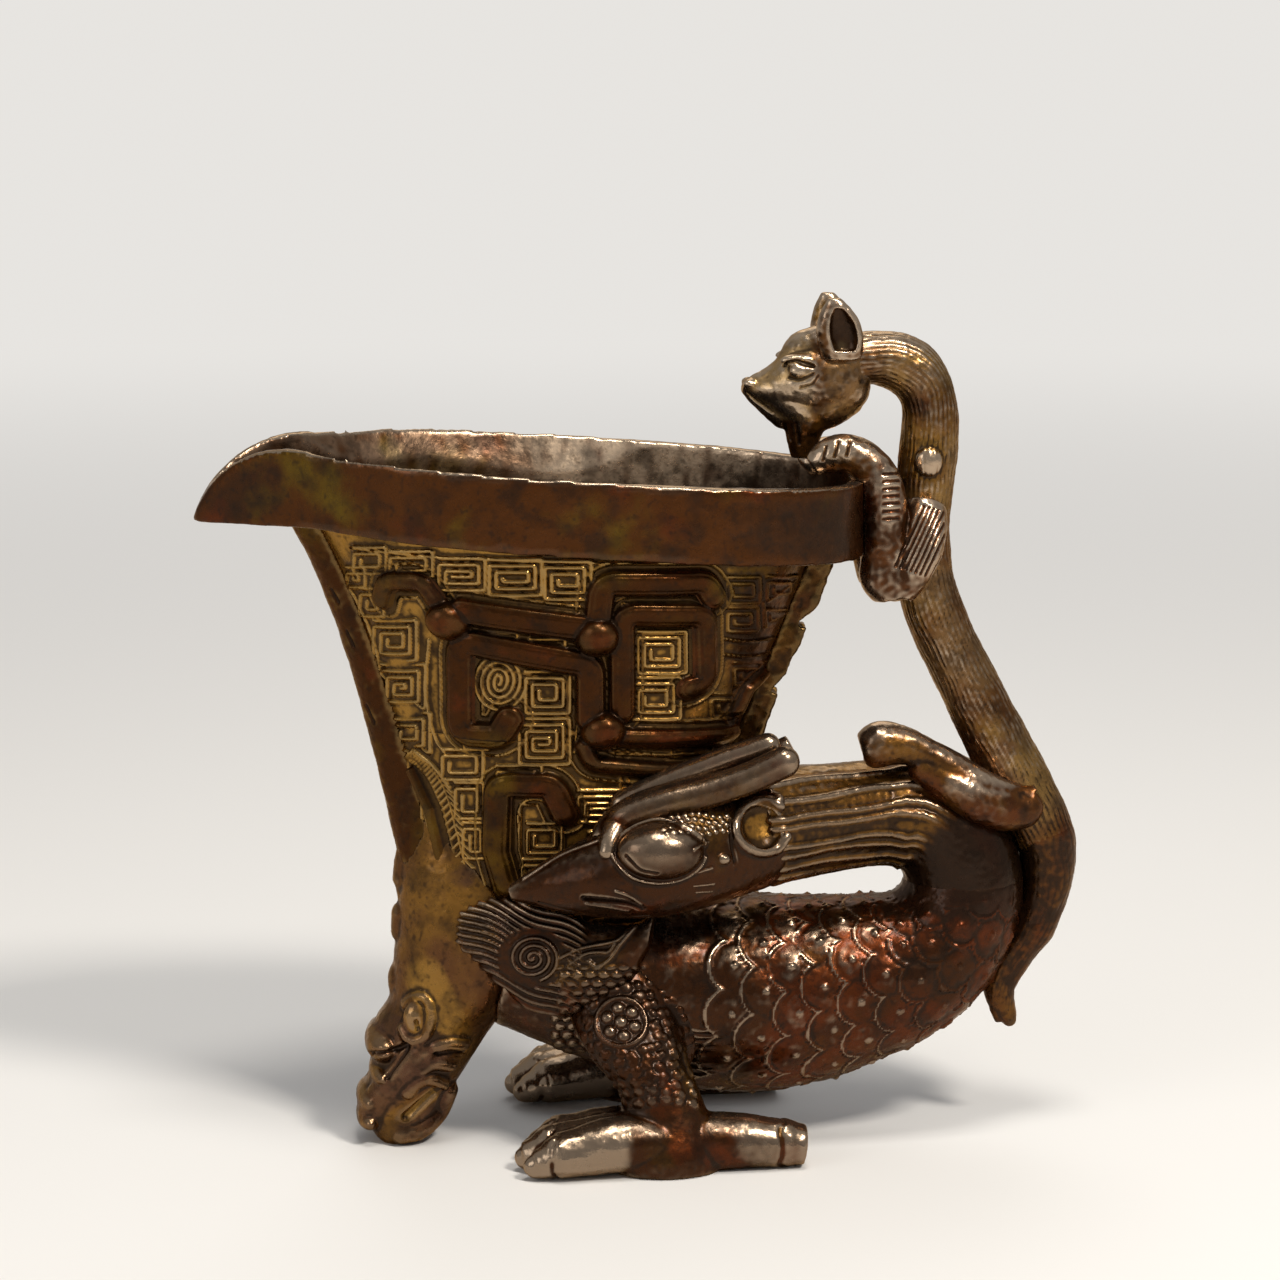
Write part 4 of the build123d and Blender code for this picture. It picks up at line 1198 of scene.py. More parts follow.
# %% Dragon's head in wax
DRAGON_GRAIN = 0.31
DRAGON_NOSE = ((385, 1038, 3.6, 3.4), (383, 1066, 2.5, 2.0), (370, 1093, 2.4, 2.4), (370, 1112, 2.4, 2.3))
NOSE_PROBE = 12
DRAGON_EYE = (417, 1019)
DRAGON_EYE_RADII = (2.4, 1.7, 3.4)
DRAGON_CREST = (
    ((406, 850, 1.7), (404, 864, 1.8), (403, 878, 1.9)),
    ((404, 886, 1.5), (407, 904, 1.5)),
    ((402, 912, 1.9), (402, 922, 1.9), (402, 931, 1.9)),
    ((405, 940, 1.5), (405, 960, 1.6)),
    ((404, 966, 2.0), (402, 976, 2.5), (404, 990, 2.6)),
)
DRAGON_ROLLS = {
    "eye_ring": (0.9, 0.0, ((405, 1004), (413, 998), (423, 997), (430, 1005), (431, 1020), (426, 1035),
                            (417, 1041), (407, 1038), (402, 1028))),
    "upper_lip": (3.0, 2.0, ((424, 1050), (404, 1072), (386, 1092), (374, 1112))),
    "cheek_fold": (1.3, 0.3, ((436, 1046), (449, 1043), (463, 1044))),
    "lower_fold": (1.2, 0.3, ((421, 1070), (434, 1063), (451, 1065))),
    "mouth_fold": (1.2, 0.3, ((408, 1093), (417, 1083), (430, 1079), (443, 1084))),
    "lower_lip": (2.2, 1.4, ((446, 1090), (436, 1112), (418, 1128), (402, 1132))),
}

head_form = node_form("dragon_head")
probe_tree = BVHTree.FromBMesh(head_form)
for x, y, long, high in DRAGON_NOSE:
    place = on(probe_tree, (x + NOSE_PROBE, y)) or across((x, y), -4.0)
    add_lump(head_form, across((x, y), 0.0), (long, abs(place.y) + 1.2, high))
lumps(head_form, probe_tree, DRAGON_EYE, DRAGON_EYE_RADII, 0.4)
middle_rolls(head_form, DRAGON_CREST, 14, 1.5)
for radius, sink, pixels in DRAGON_ROLLS.values():
    spots = [(on(probe_tree, pixel), photo_ray(pixel)) for pixel in curve(pixels, 12)]
    spots = [spot + ray * sink for spot, ray in spots if spot is not None]
    add_roll(head_form, spots, radius, radius)
    add_roll(head_form, [spot * MIRROR for spot in spots], radius, radius)
bench = Casting(melt("dragon", head_form, DRAGON_GRAIN, 7))
print("dragon in wax:", len(bench.points), "points")

# %% [markdown]
# Grooves part the lips and the folds. The colour of this head changes from a golden brow to a red brown
# snout, with gold left in the eye and the mouth. Such stains are painted along short lines on the picture.

# %% Dragon's grooves and stains
DRAGON_GROOVES = {
    "under_nose": (1.6, -0.9, ((370, 1054), (388, 1052), (407, 1045))),
    "nostril": (1.2, -0.6, ((407, 1049), (396, 1064), (387, 1078))),
    "mouth": (2.4, -1.0, ((438, 1090), (424, 1101), (406, 1117))),
    "pupil": (1.4, -0.7, ((416, 1022), (417, 1028))),
    "cheek_crease": (1.3, -0.7, ((436, 1054), (450, 1053), (464, 1052))),
}
DRAGON_STAINS = {
    "golden_brow": (0.7, 24, ((424, 975), (436, 1000), (450, 1030))),
    "red_nose": (-1.0, 27, ((386, 1036), (392, 1040))),
    "red_snout": (-1.0, 22, ((432, 1050), (400, 1078), (368, 1108))),
    "red_lip": (-0.8, 14, ((448, 1096), (428, 1120), (404, 1132))),
    "golden_eye": (0.9, 9, ((412, 1016), (415, 1026))),
    "golden_mouth": (1.0, 8, ((434, 1094), (420, 1105), (406, 1116))),
}
STAIN_RIM = 0.15

bench.unevenness = 0.7
bench.wear *= 0.55
for width, depth, pixels in DRAGON_GROOVES.values():
    bench.line(bench.lay(pixels), width, depth, both=True)
u, v = near_places(bench.points)
for stain, reach, pixels in DRAGON_STAINS.values():
    for x, y in curve(pixels, 4):
        share = bell(np.hypot(u - x, v - y) / reach) ** 0.5
        bench.ground = np.where(share > STAIN_RIM, bench.ground * (1 - share) + stain * share, bench.ground)
bench.shade -= 0.7 * between(bench.ground, 0.7, 0.9)
bench.finish("ochre_bronze", "dragon_head")

# %% [markdown]
# ## The bird's body
#
# Big round scales, each with a bead in its middle, cover the rear of the body. They are laid out in
# staggered rows along and round the body, and every scale lies over the one behind it. The flank under the
# wing has small drop-shaped feathers in rows. Both are formulas, because they repeat and bend with the body.

# %% Scales and drop-shaped feathers
SCALE_SIZE = 0.62
DROP_WIDE = 13.0
DROP_HIGH = 8.5
DROP_PROUD = 0.6
DROP_FADE = 8


def scales(along, turn, girth, start, pitch, around):
    """Round scales with a thin rim and a small bead, each row lying over the row before it."""
    done = np.zeros(len(along), bool)
    relief = np.zeros(len(along))
    first = np.floor((along - start) / pitch).astype(int)
    for step in (1, 0, -1):
        row = first + step
        shift = 0.5 * (row % 2)
        column = np.round(turn * around / (2 * math.pi) - shift) + shift
        jitter = 0.4 * np.sin(7.1 * row + 3.3 * column)
        wide = (turn - column * 2 * math.pi / around) * girth
        off = np.hypot(along - start - (row + 0.5) * pitch - jitter, wide)
        size = SCALE_SIZE * np.maximum(pitch, girth * 2 * math.pi / around)
        inside = (off < size) & ~done & (row >= 0)
        share = off / size
        shape = 0.4 * (1 - share**2) + 0.4 * bell((share - 0.9) / 0.1) + 0.5 * bell(off / 0.8)
        relief = np.where(inside, shape, relief)
        done |= inside
    return relief


def drops(u, v, left, top):
    """Drop-shaped feathers in staggered rows, right of and below a place in the picture."""
    row = np.floor((v - top) / DROP_HIGH)
    cell = (u - left) / DROP_WIDE + 0.5 * (row % 2) + 0.12 * np.sin(3.1 * row)
    side = (cell % 1 - 0.5) * 2
    rise = ((v - top) / DROP_HIGH % 1 - 0.5) * 2
    shape = np.sqrt(np.clip(1 - side**2 - (rise * (1.0 + 0.25 * side)) ** 2, 0, None))
    return DROP_PROUD * shape * ramp((u - left) / DROP_FADE) * ramp((v - top) / DROP_FADE)


print("one drop-shaped feather:", DROP_WIDE, "by", DROP_HIGH, "pixels")

# %% [markdown]
# The scales fade where the back turns up into the neck, which is smooth; the back under the neck gets painted
# shade. A few strokes on the belly mark where the thigh's beads end and the scales begin.

# %% Bird's body
BODY_GRAIN = 0.41
BODY_MIDDLE = ((-23, 0, 32.6), (-10, 0, 29.2), (8, 0, 25.4), (27, 0, 24.6), (45.2, 0, 28.4), (52.3, 0, 35.0),
               (55.6, 0, 44.2))
SCALE_START = 35.5
SCALE_PITCH = 5.6
SCALES_AROUND = 12
SCALES_END = (100.0, 92.0)
RED_FROM = (SCALE_START, SCALE_START + 12.0)
DARK_REAR = (58.0, 78.0)
SHADED_BACK_U = (690, 720)
SHADED_BACK_V = (935, 890)
PLAIN_BACK_U = (860, 890)
PLAIN_BACK_V = (925, 885)
FLANK_U = (650, 630)
FLANK_V = (1060, 1040)
FLANK_DROPS = (548, 962)
BELLY_STROKES = 9
BELLY_FROM = (692, 1030)
BELLY_PITCH = 6.2
BELLY_LENGTH = 26
body_neck_joint = (55.85, 0.0, 44.2)

body_form = node_form("bird_body", joints=((body_neck_joint, (0, 0, 1)),))
body_tree = BVHTree.FromBMesh(body_form)
bench = Casting(melt("bird_body_cast", body_form, BODY_GRAIN))
along, turn, girth = along_limb(bench.points, curve(BODY_MIDDLE, 6))
shown = between(along, *SCALES_END)
bench.raised = shown * scales(along, turn, girth, SCALE_START, SCALE_PITCH, SCALES_AROUND)
bench.ground = -shown * between(along, *RED_FROM) * ramp(0.6 + uneven(bench.points, 9.0))
bench.wear *= 0.7
u, v = near_places(bench.points)
# Darker towards the rear, and painted shade on the back under the neck.
bench.shade = 0.45 * between(along, *DARK_REAR) + 0.75 * between(v, *SHADED_BACK_V) * between(u, *SHADED_BACK_U)
bench.raised *= 1 - 0.8 * between(v, *PLAIN_BACK_V) * between(u, *PLAIN_BACK_U)
flank = between(u, *FLANK_U) * between(v, *FLANK_V)
bench.raised = np.maximum(bench.raised, flank * drops(u, v, *FLANK_DROPS))
for step in range(BELLY_STROKES):
    x, y = BELLY_FROM[0] - step, BELLY_FROM[1] + BELLY_PITCH * step
    bench.line(bench.lay(((x, y), (x + BELLY_LENGTH, y + 1))), 1.0, 0.35, both=True)
bench.finish("red_bronze", "bird_body")

# %% [markdown]
# ## The wings
#
# A wing is a low oval with a spiral at the shoulder. Strokes of feathers sweep round the spiral to the front
# edge, drop-shaped feathers lie behind it, and a few longer ones lead up under the beak. Both wings are the
# same, so the far one is a mirrored copy.

# %% Near and far wing
WING_GRAIN = 0.25
WING_SPIRAL = (533, 958)
SPIRAL_TURNS = 3.2
SPIRAL_WIDE = 26
SPIRAL_TALL = 23
SPIRAL_MARGIN = (7, 5)
FEATHER_PITCH = 7.0
FEATHER_SLOPE = 0.42
FEATHER_PROUD = 0.55
FEATHERS_END_U = (590, 576)
WING_DROPS = (552, 962)
LONG_FEATHERS = (
    ((560, 958), (579, 949), (597, 945), (608, 943), (618, 940), (629, 930)),
    ((570, 964), (585, 954), (598, 952), (608, 952), (615, 944)),
    ((636, 926), (621, 943), (611, 957), (602, 965)),
    ((588, 961), (595, 966), (603, 964)),
)

bench = Casting(melt("wing_near_cast", node_form("wing_near"), WING_GRAIN, 6))
u, v = photo_places(bench.points)
off_u, off_v = u - WING_SPIRAL[0], v - WING_SPIRAL[1]
spread = np.hypot(off_u / (SPIRAL_WIDE + SPIRAL_MARGIN[0]), off_v / (SPIRAL_TALL + SPIRAL_MARGIN[1]))
level = (v - FEATHER_SLOPE * off_u + 3 * np.sin(u * 0.08)) / FEATHER_PITCH
feather = FEATHER_PROUD * bell(2.3 * (level % 1 - 0.5))
bench.raised = feather * between(spread, 1.0, 1.12) * between(u, *FEATHERS_END_U)
bench.raised = np.maximum(bench.raised, drops(u, v, *WING_DROPS))
grow = np.linspace(0, 1, 80)
angle = SPIRAL_TURNS * 2 * math.pi * grow
swirl = np.column_stack([WING_SPIRAL[0] + SPIRAL_WIDE * grow * np.cos(angle),
                         WING_SPIRAL[1] + SPIRAL_TALL * grow * np.sin(angle)])
bench.line(bench.lay(swirl, 1), 1.0, 0.6)
for pixels in LONG_FEATHERS:
    bench.line(bench.lay(pixels), 1.1, 0.5)
bench.wear *= 0.45
wing = bench.finish("red_bronze", "wing_near")
far_twin(wing, "wing_far_cast", "red_bronze", "wing_far")

# %% [markdown]
# ## The bird's legs
#
# The leg grows out of a rounded thigh and stands on three front toes and a hind toe. A toe is a roll of wax
# that thins towards its end, and a claw is a lump in front of it.

# %% Leg in wax
LEG_GRAIN = 0.33
FOOT_Y = -22.3
TOE_SPREADS = (-4.6, 0.0, 4.6)
TOE_SHORTER = 0.3
TOE_STEPS = 19
TOE_RADII = (5.0, 4.1)
CLAW_RADII = (2.4, 1.7, 2.1)
HIND_TOE = ((6.0, FOOT_Y, 5.0), (22.6, FOOT_Y, 4.3))
HIND_TOE_RADII = (4.8, 4.1)
THIGH = (643, 1032)
THIGH_RADII = (10.0, 5.0, 9.5)
THIGH_SINK = 2.2

leg_form = node_form("leg_near")
lumps(leg_form, body_tree, THIGH, THIGH_RADII, THIGH_SINK, both=False)
for spread in TOE_SPREADS:
    shorter = TOE_SHORTER * abs(spread)
    root = (-2.0, FOOT_Y + 0.5 * spread, 5.3)
    tip = (-16.0 + shorter, FOOT_Y + 1.05 * spread, 4.2)
    add_roll(leg_form, np.linspace(root, tip, TOE_STEPS), *TOE_RADII)
    add_lump(leg_form, (-20.4 + shorter, FOOT_Y + 1.15 * spread, 2.4), CLAW_RADII)
add_roll(leg_form, np.linspace(*HIND_TOE, TOE_STEPS), *HIND_TOE_RADII)
bench = Casting(melt("leg_near_cast", leg_form, LEG_GRAIN, 6))
print("leg in wax:", len(bench.points), "points")

# %% [markdown]
# The thigh is set with beads, in staggered rows that are not quite even, round a rosette of six beads in a
# ring. Each bead is one blow of the dapping punch.

# %% Rosette and beads
ROSETTE = (621, 1022)
ROSETTE_RADIUS = 4.2
ROSETTE_BEADS = 6
ROSETTE_RING = 14.5
ROSETTE_CLEAR = 30
BEADS_FROM = (584, 984)
BEAD_ROWS = 14
BEAD_COLUMNS = 15
BEAD_PITCH = 9.0

bench.unevenness = 0.7
bench.wear *= 0.36
centre = bench.spot(ROSETTE)
off = np.linalg.norm(bench.points - centre[0], axis=1)
bench.raised = np.maximum(bench.raised, 0.6 * bell((off - ROSETTE_RADIUS) / 0.6))
bench.dome(centre, 1.2, 0.8)
for bead in range(ROSETTE_BEADS):
    angle = 2 * math.pi * (bead + 0.3) / ROSETTE_BEADS
    spot = (ROSETTE[0] + ROSETTE_RING * math.cos(angle), ROSETTE[1] + ROSETTE_RING * math.sin(angle))
    bench.dome(bench.spot(spot), 1.1, 0.75)
for row in range(BEAD_ROWS):
    for column in range(BEAD_COLUMNS):
        x = BEADS_FROM[0] + BEAD_PITCH * (column + 0.5 * (row % 2)) + 3 * math.sin(3.7 * row + 2.1 * column)
        y = BEADS_FROM[1] + BEAD_PITCH * row + 3 * math.sin(5.3 * column + row)
        if math.hypot(x - ROSETTE[0], y - ROSETTE[1]) < ROSETTE_CLEAR:
            continue
        bench.dome(bench.spot((x, y)), 0.85 + 0.25 * math.sin(row * 2.2 + column * 4.1), 0.4)
print("places for beads:", BEAD_ROWS * BEAD_COLUMNS)

# %% [markdown]
# A fine groove sets each claw off from its toe. The toes are made pale, partly as wear from the table and
# partly as a painted highlight. The edge of that paling is uneven, as wear is. The far leg is the near one
# mirrored.

# %% Claws, and toes with wear and a painted highlight
CLAW_LINE_X = (-16.2, 22.4)
CLAW_LINE_TOP = 9.5
SOLE = 0.4
TOE_WEAR_AND_HIGHLIGHT = -0.8
TOES_X = (-1.5, -6.5)
HIND_TOE_X = (13.0, 18.0)
TOE_TOP_Z = (10.5, 8.5)
DARK_THIGH_Z = (14.0, 18.0)
ROSETTE_LIGHT = 40

x, y, z = bench.points.T
for line_x in CLAW_LINE_X:
    wander = line_x + 0.6 * np.sin(1.3 * y)
    bench.cut -= np.where(z < CLAW_LINE_TOP, 0.25 * bell((x - wander) / 0.8), 0.0)
bench.cut[z < SOLE] = 0.0
patchy = 2.5 * uneven(bench.points, 3.5)
toes = between(x - patchy, *TOES_X) + 0.5 * between(x + patchy, *HIND_TOE_X)
# The toes are paler: wear from the table and a painted highlight.
bench.shade = TOE_WEAR_AND_HIGHLIGHT * toes * between(z, *TOE_TOP_Z)
u, v = near_places(bench.points)
round_rosette = picture_spot(u, v, ROSETTE, ROSETTE_LIGHT, ROSETTE_LIGHT)
bench.shade += 0.25 * between(z, *DARK_THIGH_Z) * (1 - round_rosette)
leg = bench.finish("red_bronze", "leg_near")
far_twin(leg, "leg_far_cast", "red_bronze", "leg_far")

# %% [markdown]
# ## The bird's neck
#
# Ribs run along the neck. They sit at chosen turns round it, because the real ones are cut by eye and are
# not even. They start past the bend, where the smooth back ends; that smooth part gets painted shade.

# %% Bird's neck
NECK_GRAIN = 0.31
NECK_RIBS = (79, 61, 44, 26, 15, -8, -20, -41, -63)
RIB_PROUD = 0.5
RIB_HALF = 6.5
RIBS_FROM = (9.0, 15.0)
head_joint = (20.0, -9.9, 55.8)
head_aim = Vector((-1.0, -0.4, -0.12))
NECK_MIDDLE = ((55.8, 0, 44.2), (53.6, 0, 50.9), (48.8, 0, 55.6), (42.5, 0, 56.2), (33, -3.6, 56.2),
               head_joint)
neck_joints = ((body_neck_joint, (0, 0, -1)), (head_joint, head_aim))

bench = Casting(melt("bird_neck_cast", node_form("bird_neck", joints=neck_joints), NECK_GRAIN))
along, turn, _ = along_limb(bench.points, curve(NECK_MIDDLE, 6))
ribbed = between(along, *RIBS_FROM)
round_turn = np.degrees(np.where(np.abs(turn) > math.pi / 2, np.copysign(math.pi, turn) - turn, turn))
for rib in NECK_RIBS:
    drift = 1.5 * np.sin(0.3 * along + rib)
    bench.raised = np.maximum(bench.raised, RIB_PROUD * ribbed * bell((round_turn - rib - drift) / RIB_HALF))
# Painted shade on the smooth part by the body, where the neck meets the shaded back.
bench.shade = 0.9 * (1 - ribbed)
bench.ground = 0.4 * ribbed
bench.wear *= 0.55
bench.finish("red_bronze", "bird_neck")

# %% [markdown]
# ## The bird's head
#
# The head lies against the near wall of the cup: a domed almond eye between two lids, a beak with a slit
# for the mouth, fine scales on the cheek and a round ear with a raised ring. The eye is one big smooth lump,
# so its ball is made of fine faces, or the facets would show in its shine.

# %% Bird's head in wax
HEAD_GRAIN = 0.235
EYE = (660, 852)
EYE_RADII = (7.2, 4.6, 4.7)
CHEEK_BEAD = (723, 859)
CHEEK_BEAD_RADII = (1.3, 1.1, 1.0)
EAR_BEAD = (778, 800)
EAR_BEAD_RADII = (1.3, 1.2, 1.1)
EAR_RING = ((787, 836), (778, 848), (763, 852), (748, 848), (738, 838), (736, 824), (742, 810), (754, 802),
            (768, 800), (781, 806))

head_form = node_form("bird_head", joints=((head_joint, -head_aim),))
head_tree = BVHTree.FromBMesh(head_form)
lumps(head_form, head_tree, EYE, EYE_RADII, 0.9, both=False)
lumps(head_form, head_tree, CHEEK_BEAD, CHEEK_BEAD_RADII, 0.3, both=False)
lumps(head_form, head_tree, EAR_BEAD, EAR_BEAD_RADII, 0.3, both=False)
ring = [on(head_tree, pixel) for pixel in curve(EAR_RING, 5)]
add_roll(head_form, [spot for spot in ring if spot is not None], 1.0, 0.9)
bench = Casting(melt("bird_head_cast", head_form, HEAD_GRAIN, 8))
print("bird's head in wax:", len(bench.points), "points")

# %% [markdown]
# Lids, beak and cheek are drawn as raised lines and grooves. The eye is left smooth and gets a painted
# highlight, the beak is darker, the throat under the head gets painted shade, and golden dust stays in the ear.

# %% Lids, beak, ear and cheek
HEAD_LINES = {
    "upper_lid": (1.5, 0.8, ((611, 853), (624, 836), (642, 825), (662, 821), (686, 830), (704, 843))),
    "lower_lid": (1.4, 0.7, ((611, 853), (620, 865), (633, 877), (655, 882), (678, 879), (694, 870),
                             (704, 858))),
    "eye_corner": (0.8, 0.35, ((598, 838), (608, 852), (620, 868), (635, 879))),
    "mouth_lower": (0.9, 0.4, ((586, 903), (606, 906), (628, 910))),
    "mouth_upper": (0.9, 0.4, ((616, 891), (630, 896), (641, 903))),
    "cheek_high": (0.7, 0.3, ((692, 874), (712, 868))),
    "cheek_middle": (0.6, 0.25, ((694, 886), (714, 884))),
    "cheek_low": (0.6, 0.25, ((696, 892), (712, 891))),
    "lid_end": (0.7, 0.3, ((694, 850), (702, 845), (708, 842))),
    "beak_ridge": (1.0, 0.3, ((600, 840), (560, 856), (524, 879))),
    "mouth_slit": (1.5, -0.9, ((584, 899), (606, 901), (628, 904), (642, 909))),
    "eye_crease": (1.0, -0.35, ((626, 856), (640, 870), (656, 874))),
    "under_beak": (1.0, -0.3, ((540, 903), (600, 918), (650, 916))),
    "before_ear": (0.9, -0.35, ((730, 820), (732, 845), (735, 862))),
}
EAR_HOLLOW = (762, 827)
EYE_MIDDLE = (660, 850)
BEAK_DARK = (560, 875)
THROAT_SHADE_V = (880, 920)
CHEEK_SCALES = (664, 815)
CHEEK_ROWS = 4
CHEEK_COLUMNS = 10

bench.wear *= 0.8
for width, height, pixels in HEAD_LINES.values():
    bench.line(bench.lay(pixels), width, height)
hollow_middle = bench.spot(EAR_HOLLOW)
bench.dome(hollow_middle, 3.7, -1.7)
bench.ground = bell(np.linalg.norm(bench.points - hollow_middle[0], axis=1) / 5.0) ** 0.5
u, v = photo_places(bench.points)
bench.unevenness = 0.6 * (1 - 0.9 * picture_spot(u, v, EYE_MIDDLE, 56, 40) ** 0.5)
# A painted highlight on the eye, and a darker beak.
bench.shade = -0.34 * picture_spot(u, v, EYE_MIDDLE, 46, 32) + 0.15 * picture_spot(u, v, BEAK_DARK, 60, 60)
# Painted shade on the throat, under the head.
bench.shade += 0.45 * between(v, *THROAT_SHADE_V)
for row in range(CHEEK_ROWS):
    for column in range(CHEEK_COLUMNS):
        x = CHEEK_SCALES[0] + 7 * column + 3 * (row % 2)
        y = CHEEK_SCALES[1] + 6 * row + 2 * math.sin(column + row)
        bench.dome(bench.spot((x, y)), 0.5, 0.22)
bench.finish("red_bronze", "bird_head")

# %% [markdown]
# ## The crest
#
# Two plumes rise from the brow and lie back along the wall. The near one starts at the eye as a thin roll
# and swells. The far one shows above and behind it. Both are rows of overlapping balls that melt into one
# smooth roll; many rounds of smoothing take out the last trace of the balls.

# %% Crest plumes
CREST_GRAIN = 0.25
CREST_ROUNDS = 12
CREST_Y = -20.3
CREST_ROLL = ((607, 852, 1.4), (613, 835, 2.1), (627, 817, 2.7), (663, 804, 2.9), (706, 793, 2.8),
              (749, 778, 2.7), (784, 762, 2.7))
FAR_CREST_Y = -16.4
FAR_CREST_RADIUS = 2.1
FAR_CREST_ROLL = ((622, 803), (645, 791), (672, 779), (699, 769), (726, 759), (750, 751), (768, 745))

crest_forms = {side: node_form(f"crest_{side}") for side in ("near", "far")}
for x, y, radius in curve(CREST_ROLL, 16):
    place = on(head_tree, (x, y)) or across((x, y), CREST_Y)
    if place.y > CREST_Y:
        place = across((x, y), CREST_Y)
    add_lump(crest_forms["near"], place, [radius] * 3)
for pixel in curve(FAR_CREST_ROLL, 14):
    add_lump(crest_forms["far"], across(pixel, FAR_CREST_Y), [FAR_CREST_RADIUS] * 3)
for side, form in crest_forms.items():
    bench = Casting(melt(f"crest_{side}_cast", form, CREST_GRAIN, CREST_ROUNDS))
    bench.unevenness = 0.15
    bench.finish("red_bronze", f"crest_{side}")

# %% [markdown]
# ## The beast's body and tail
#
# The climbing beast is the handle. Neck and back are cut with hair along the limb, in strokes that break off
# and start again, and a round boss sits on the neck. The tail is darker and only faintly cut, and a roll of
# wax down its length gives it its swing.

# %% Beast's body and tail
BEAST_GRAIN = 0.28
BEAST_MIDDLE = ((36.5, 0, 133.6), (42.5, 0, 133.9), (47.8, 0, 130.1), (49.2, 0, 122.9), (48.6, 0, 113.5),
                (47.9, 0, 104.8), (49.7, 0, 92.5), (54.5, 0, 81.8), (59.8, 0, 71.2), (65.2, 0, 61.0),
                (69.4, 0, 52.0))
TAIL_MIDDLE = ((69.4, 0, 52.0), (70.6, 0, 43.9), (67.9, 0, 35.2), (64.2, 0, 27.8), (62.7, 0, 22.8),
               (63.0, 0, 18.4))
TAIL_ROLL = ((1046, 900, 3.6), (1030, 930, 3.9), (1011, 955, 3.3), (1000, 975, 2.9), (1000, 995, 2.5),
             (1006, 1012, 1.8), (1009, 1019, 1.2))
HAIR_TUFT = 6.0
NECK_BOSS = (929, 462)
DARK_RUMP_Z = (66.0, 56.0)
beast_head_joint = (36.5, 0.0, 133.6)
beast_head_aim = Vector((-1.0, 0.0, -0.12))
tail_joint = (69.4, 0.0, 52.0)
tail_aim = Vector((0.3, 0.0, -1.0))
beast_joints = ((beast_head_joint, beast_head_aim), (tail_joint, tail_aim))

bench = Casting(melt("beast_body_cast", node_form("beast_body", joints=beast_joints), BEAST_GRAIN))
along, turn, _ = along_limb(bench.points, curve(BEAST_MIDDLE, 5))
hair(bench, along, turn, strands=34, depth=0.17, tuft=HAIR_TUFT)
bench.dome(bench.spot(NECK_BOSS), 2.4, 1.0, both=True)
bench.shade = 0.45 * between(bench.points[:, 2], *DARK_RUMP_Z)
bench.ground = 0.35 - 0.75 * ramp(0.2 + uneven(bench.points, 8.0))
bench.wear *= 0.8
bench.finish("dark_bronze", "beast_body")

tail_form = node_form("beast_tail", joints=((tail_joint, -tail_aim),))
middle_rolls(tail_form, (TAIL_ROLL,), 14, 1.0)
bench = Casting(melt("beast_tail_cast", tail_form, BEAST_GRAIN))
along, turn, _ = along_limb(bench.points, curve(TAIL_MIDDLE, 5))
hair(bench, along, turn, strands=26, depth=0.05, tuft=HAIR_TUFT)
bench.shade += 0.75
bench.ground -= 0.6
bench.finish("dark_bronze", "beast_tail")

# %% [markdown]
# ## The beast's head
#
# Rolls in the middle plane make the outline: snout with beard, nose, cheek, jaw and forehead. Brow, eye and
# nostril are lumps laid on the sides of what the rolls have made, so they are placed on the form a second
# time. The muzzle is pale, with pale dust and a painted highlight, and the beard is darker.

# %% Beast's head
BEAST_ROLLS = {
    "snout_and_beard": ((750, 388, 1.6), (763, 388, 2.4), (779, 390, 3.4), (795, 398, 4.3), (806, 411, 4.2),
                        (804, 426, 3.2), (801, 438, 2.3)),
    "nose": ((755, 383, 1.4), (770, 378, 1.9), (785, 370, 2.4)),
    "cheek": ((806, 404, 4.3), (824, 401, 4.4), (845, 386, 4.5)),
    "jaw": ((752, 395, 1.2), (763, 403, 1.6), (774, 410, 2.0), (783, 416, 2.2)),
    "forehead": ((790, 362, 2.3), (803, 350, 3.2), (818, 346, 3.6)),
}
BEAST_LUMPS = {
    "eye": ((800, 371), (1.7, 1.0, 1.2), 0.3),
    "brow": ((800, 360), (3.4, 1.3, 1.1), 0.4),
    "nostril": ((750, 384), (1.3, 1.0, 0.9), 0.3),
}
BEAST_GROOVES = {
    "under_brow": (1.1, -0.7, ((784, 365), (794, 361), (804, 363), (813, 366))),
    "under_eye": (0.8, -0.35, ((789, 378), (800, 380), (813, 374))),
    "mouth": (0.8, -0.3, ((747, 393), (758, 402), (772, 412))),
    "beard_front": (0.9, -0.4, ((784, 424), (790, 440))),
    "beard_back": (0.9, -0.4, ((796, 424), (799, 444))),
    "cheek_crease": (0.7, -0.25, ((818, 376), (812, 384), (800, 388))),
}
MUZZLE_DUST_AND_LIGHT_U = (818, 804)
MUZZLE_DUST_AND_LIGHT_V = (424, 416)
CHEEK_U = (818, 832)
MUZZLE_HIGHLIGHT = (786, 400)
DARK_BEARD_V = (424, 436)

head_form = node_form("beast_head", joints=((beast_head_joint, -beast_head_aim),))
middle_rolls(head_form, BEAST_ROLLS.values(), 14, 1.08)
probe_tree = BVHTree.FromBMesh(head_form)
for pixel, radii, sink in BEAST_LUMPS.values():
    lumps(head_form, probe_tree, pixel, radii, sink)
bench = Casting(melt("beast_head_cast", head_form, HEAD_GRAIN, 9))
u, v = near_places(bench.points)
# Pale dust on the muzzle, partly standing for its light, and on the cheek.
bench.ground += 0.9 * between(u, *MUZZLE_DUST_AND_LIGHT_U) * between(v, *MUZZLE_DUST_AND_LIGHT_V) + 0.35 * between(u, *CHEEK_U)
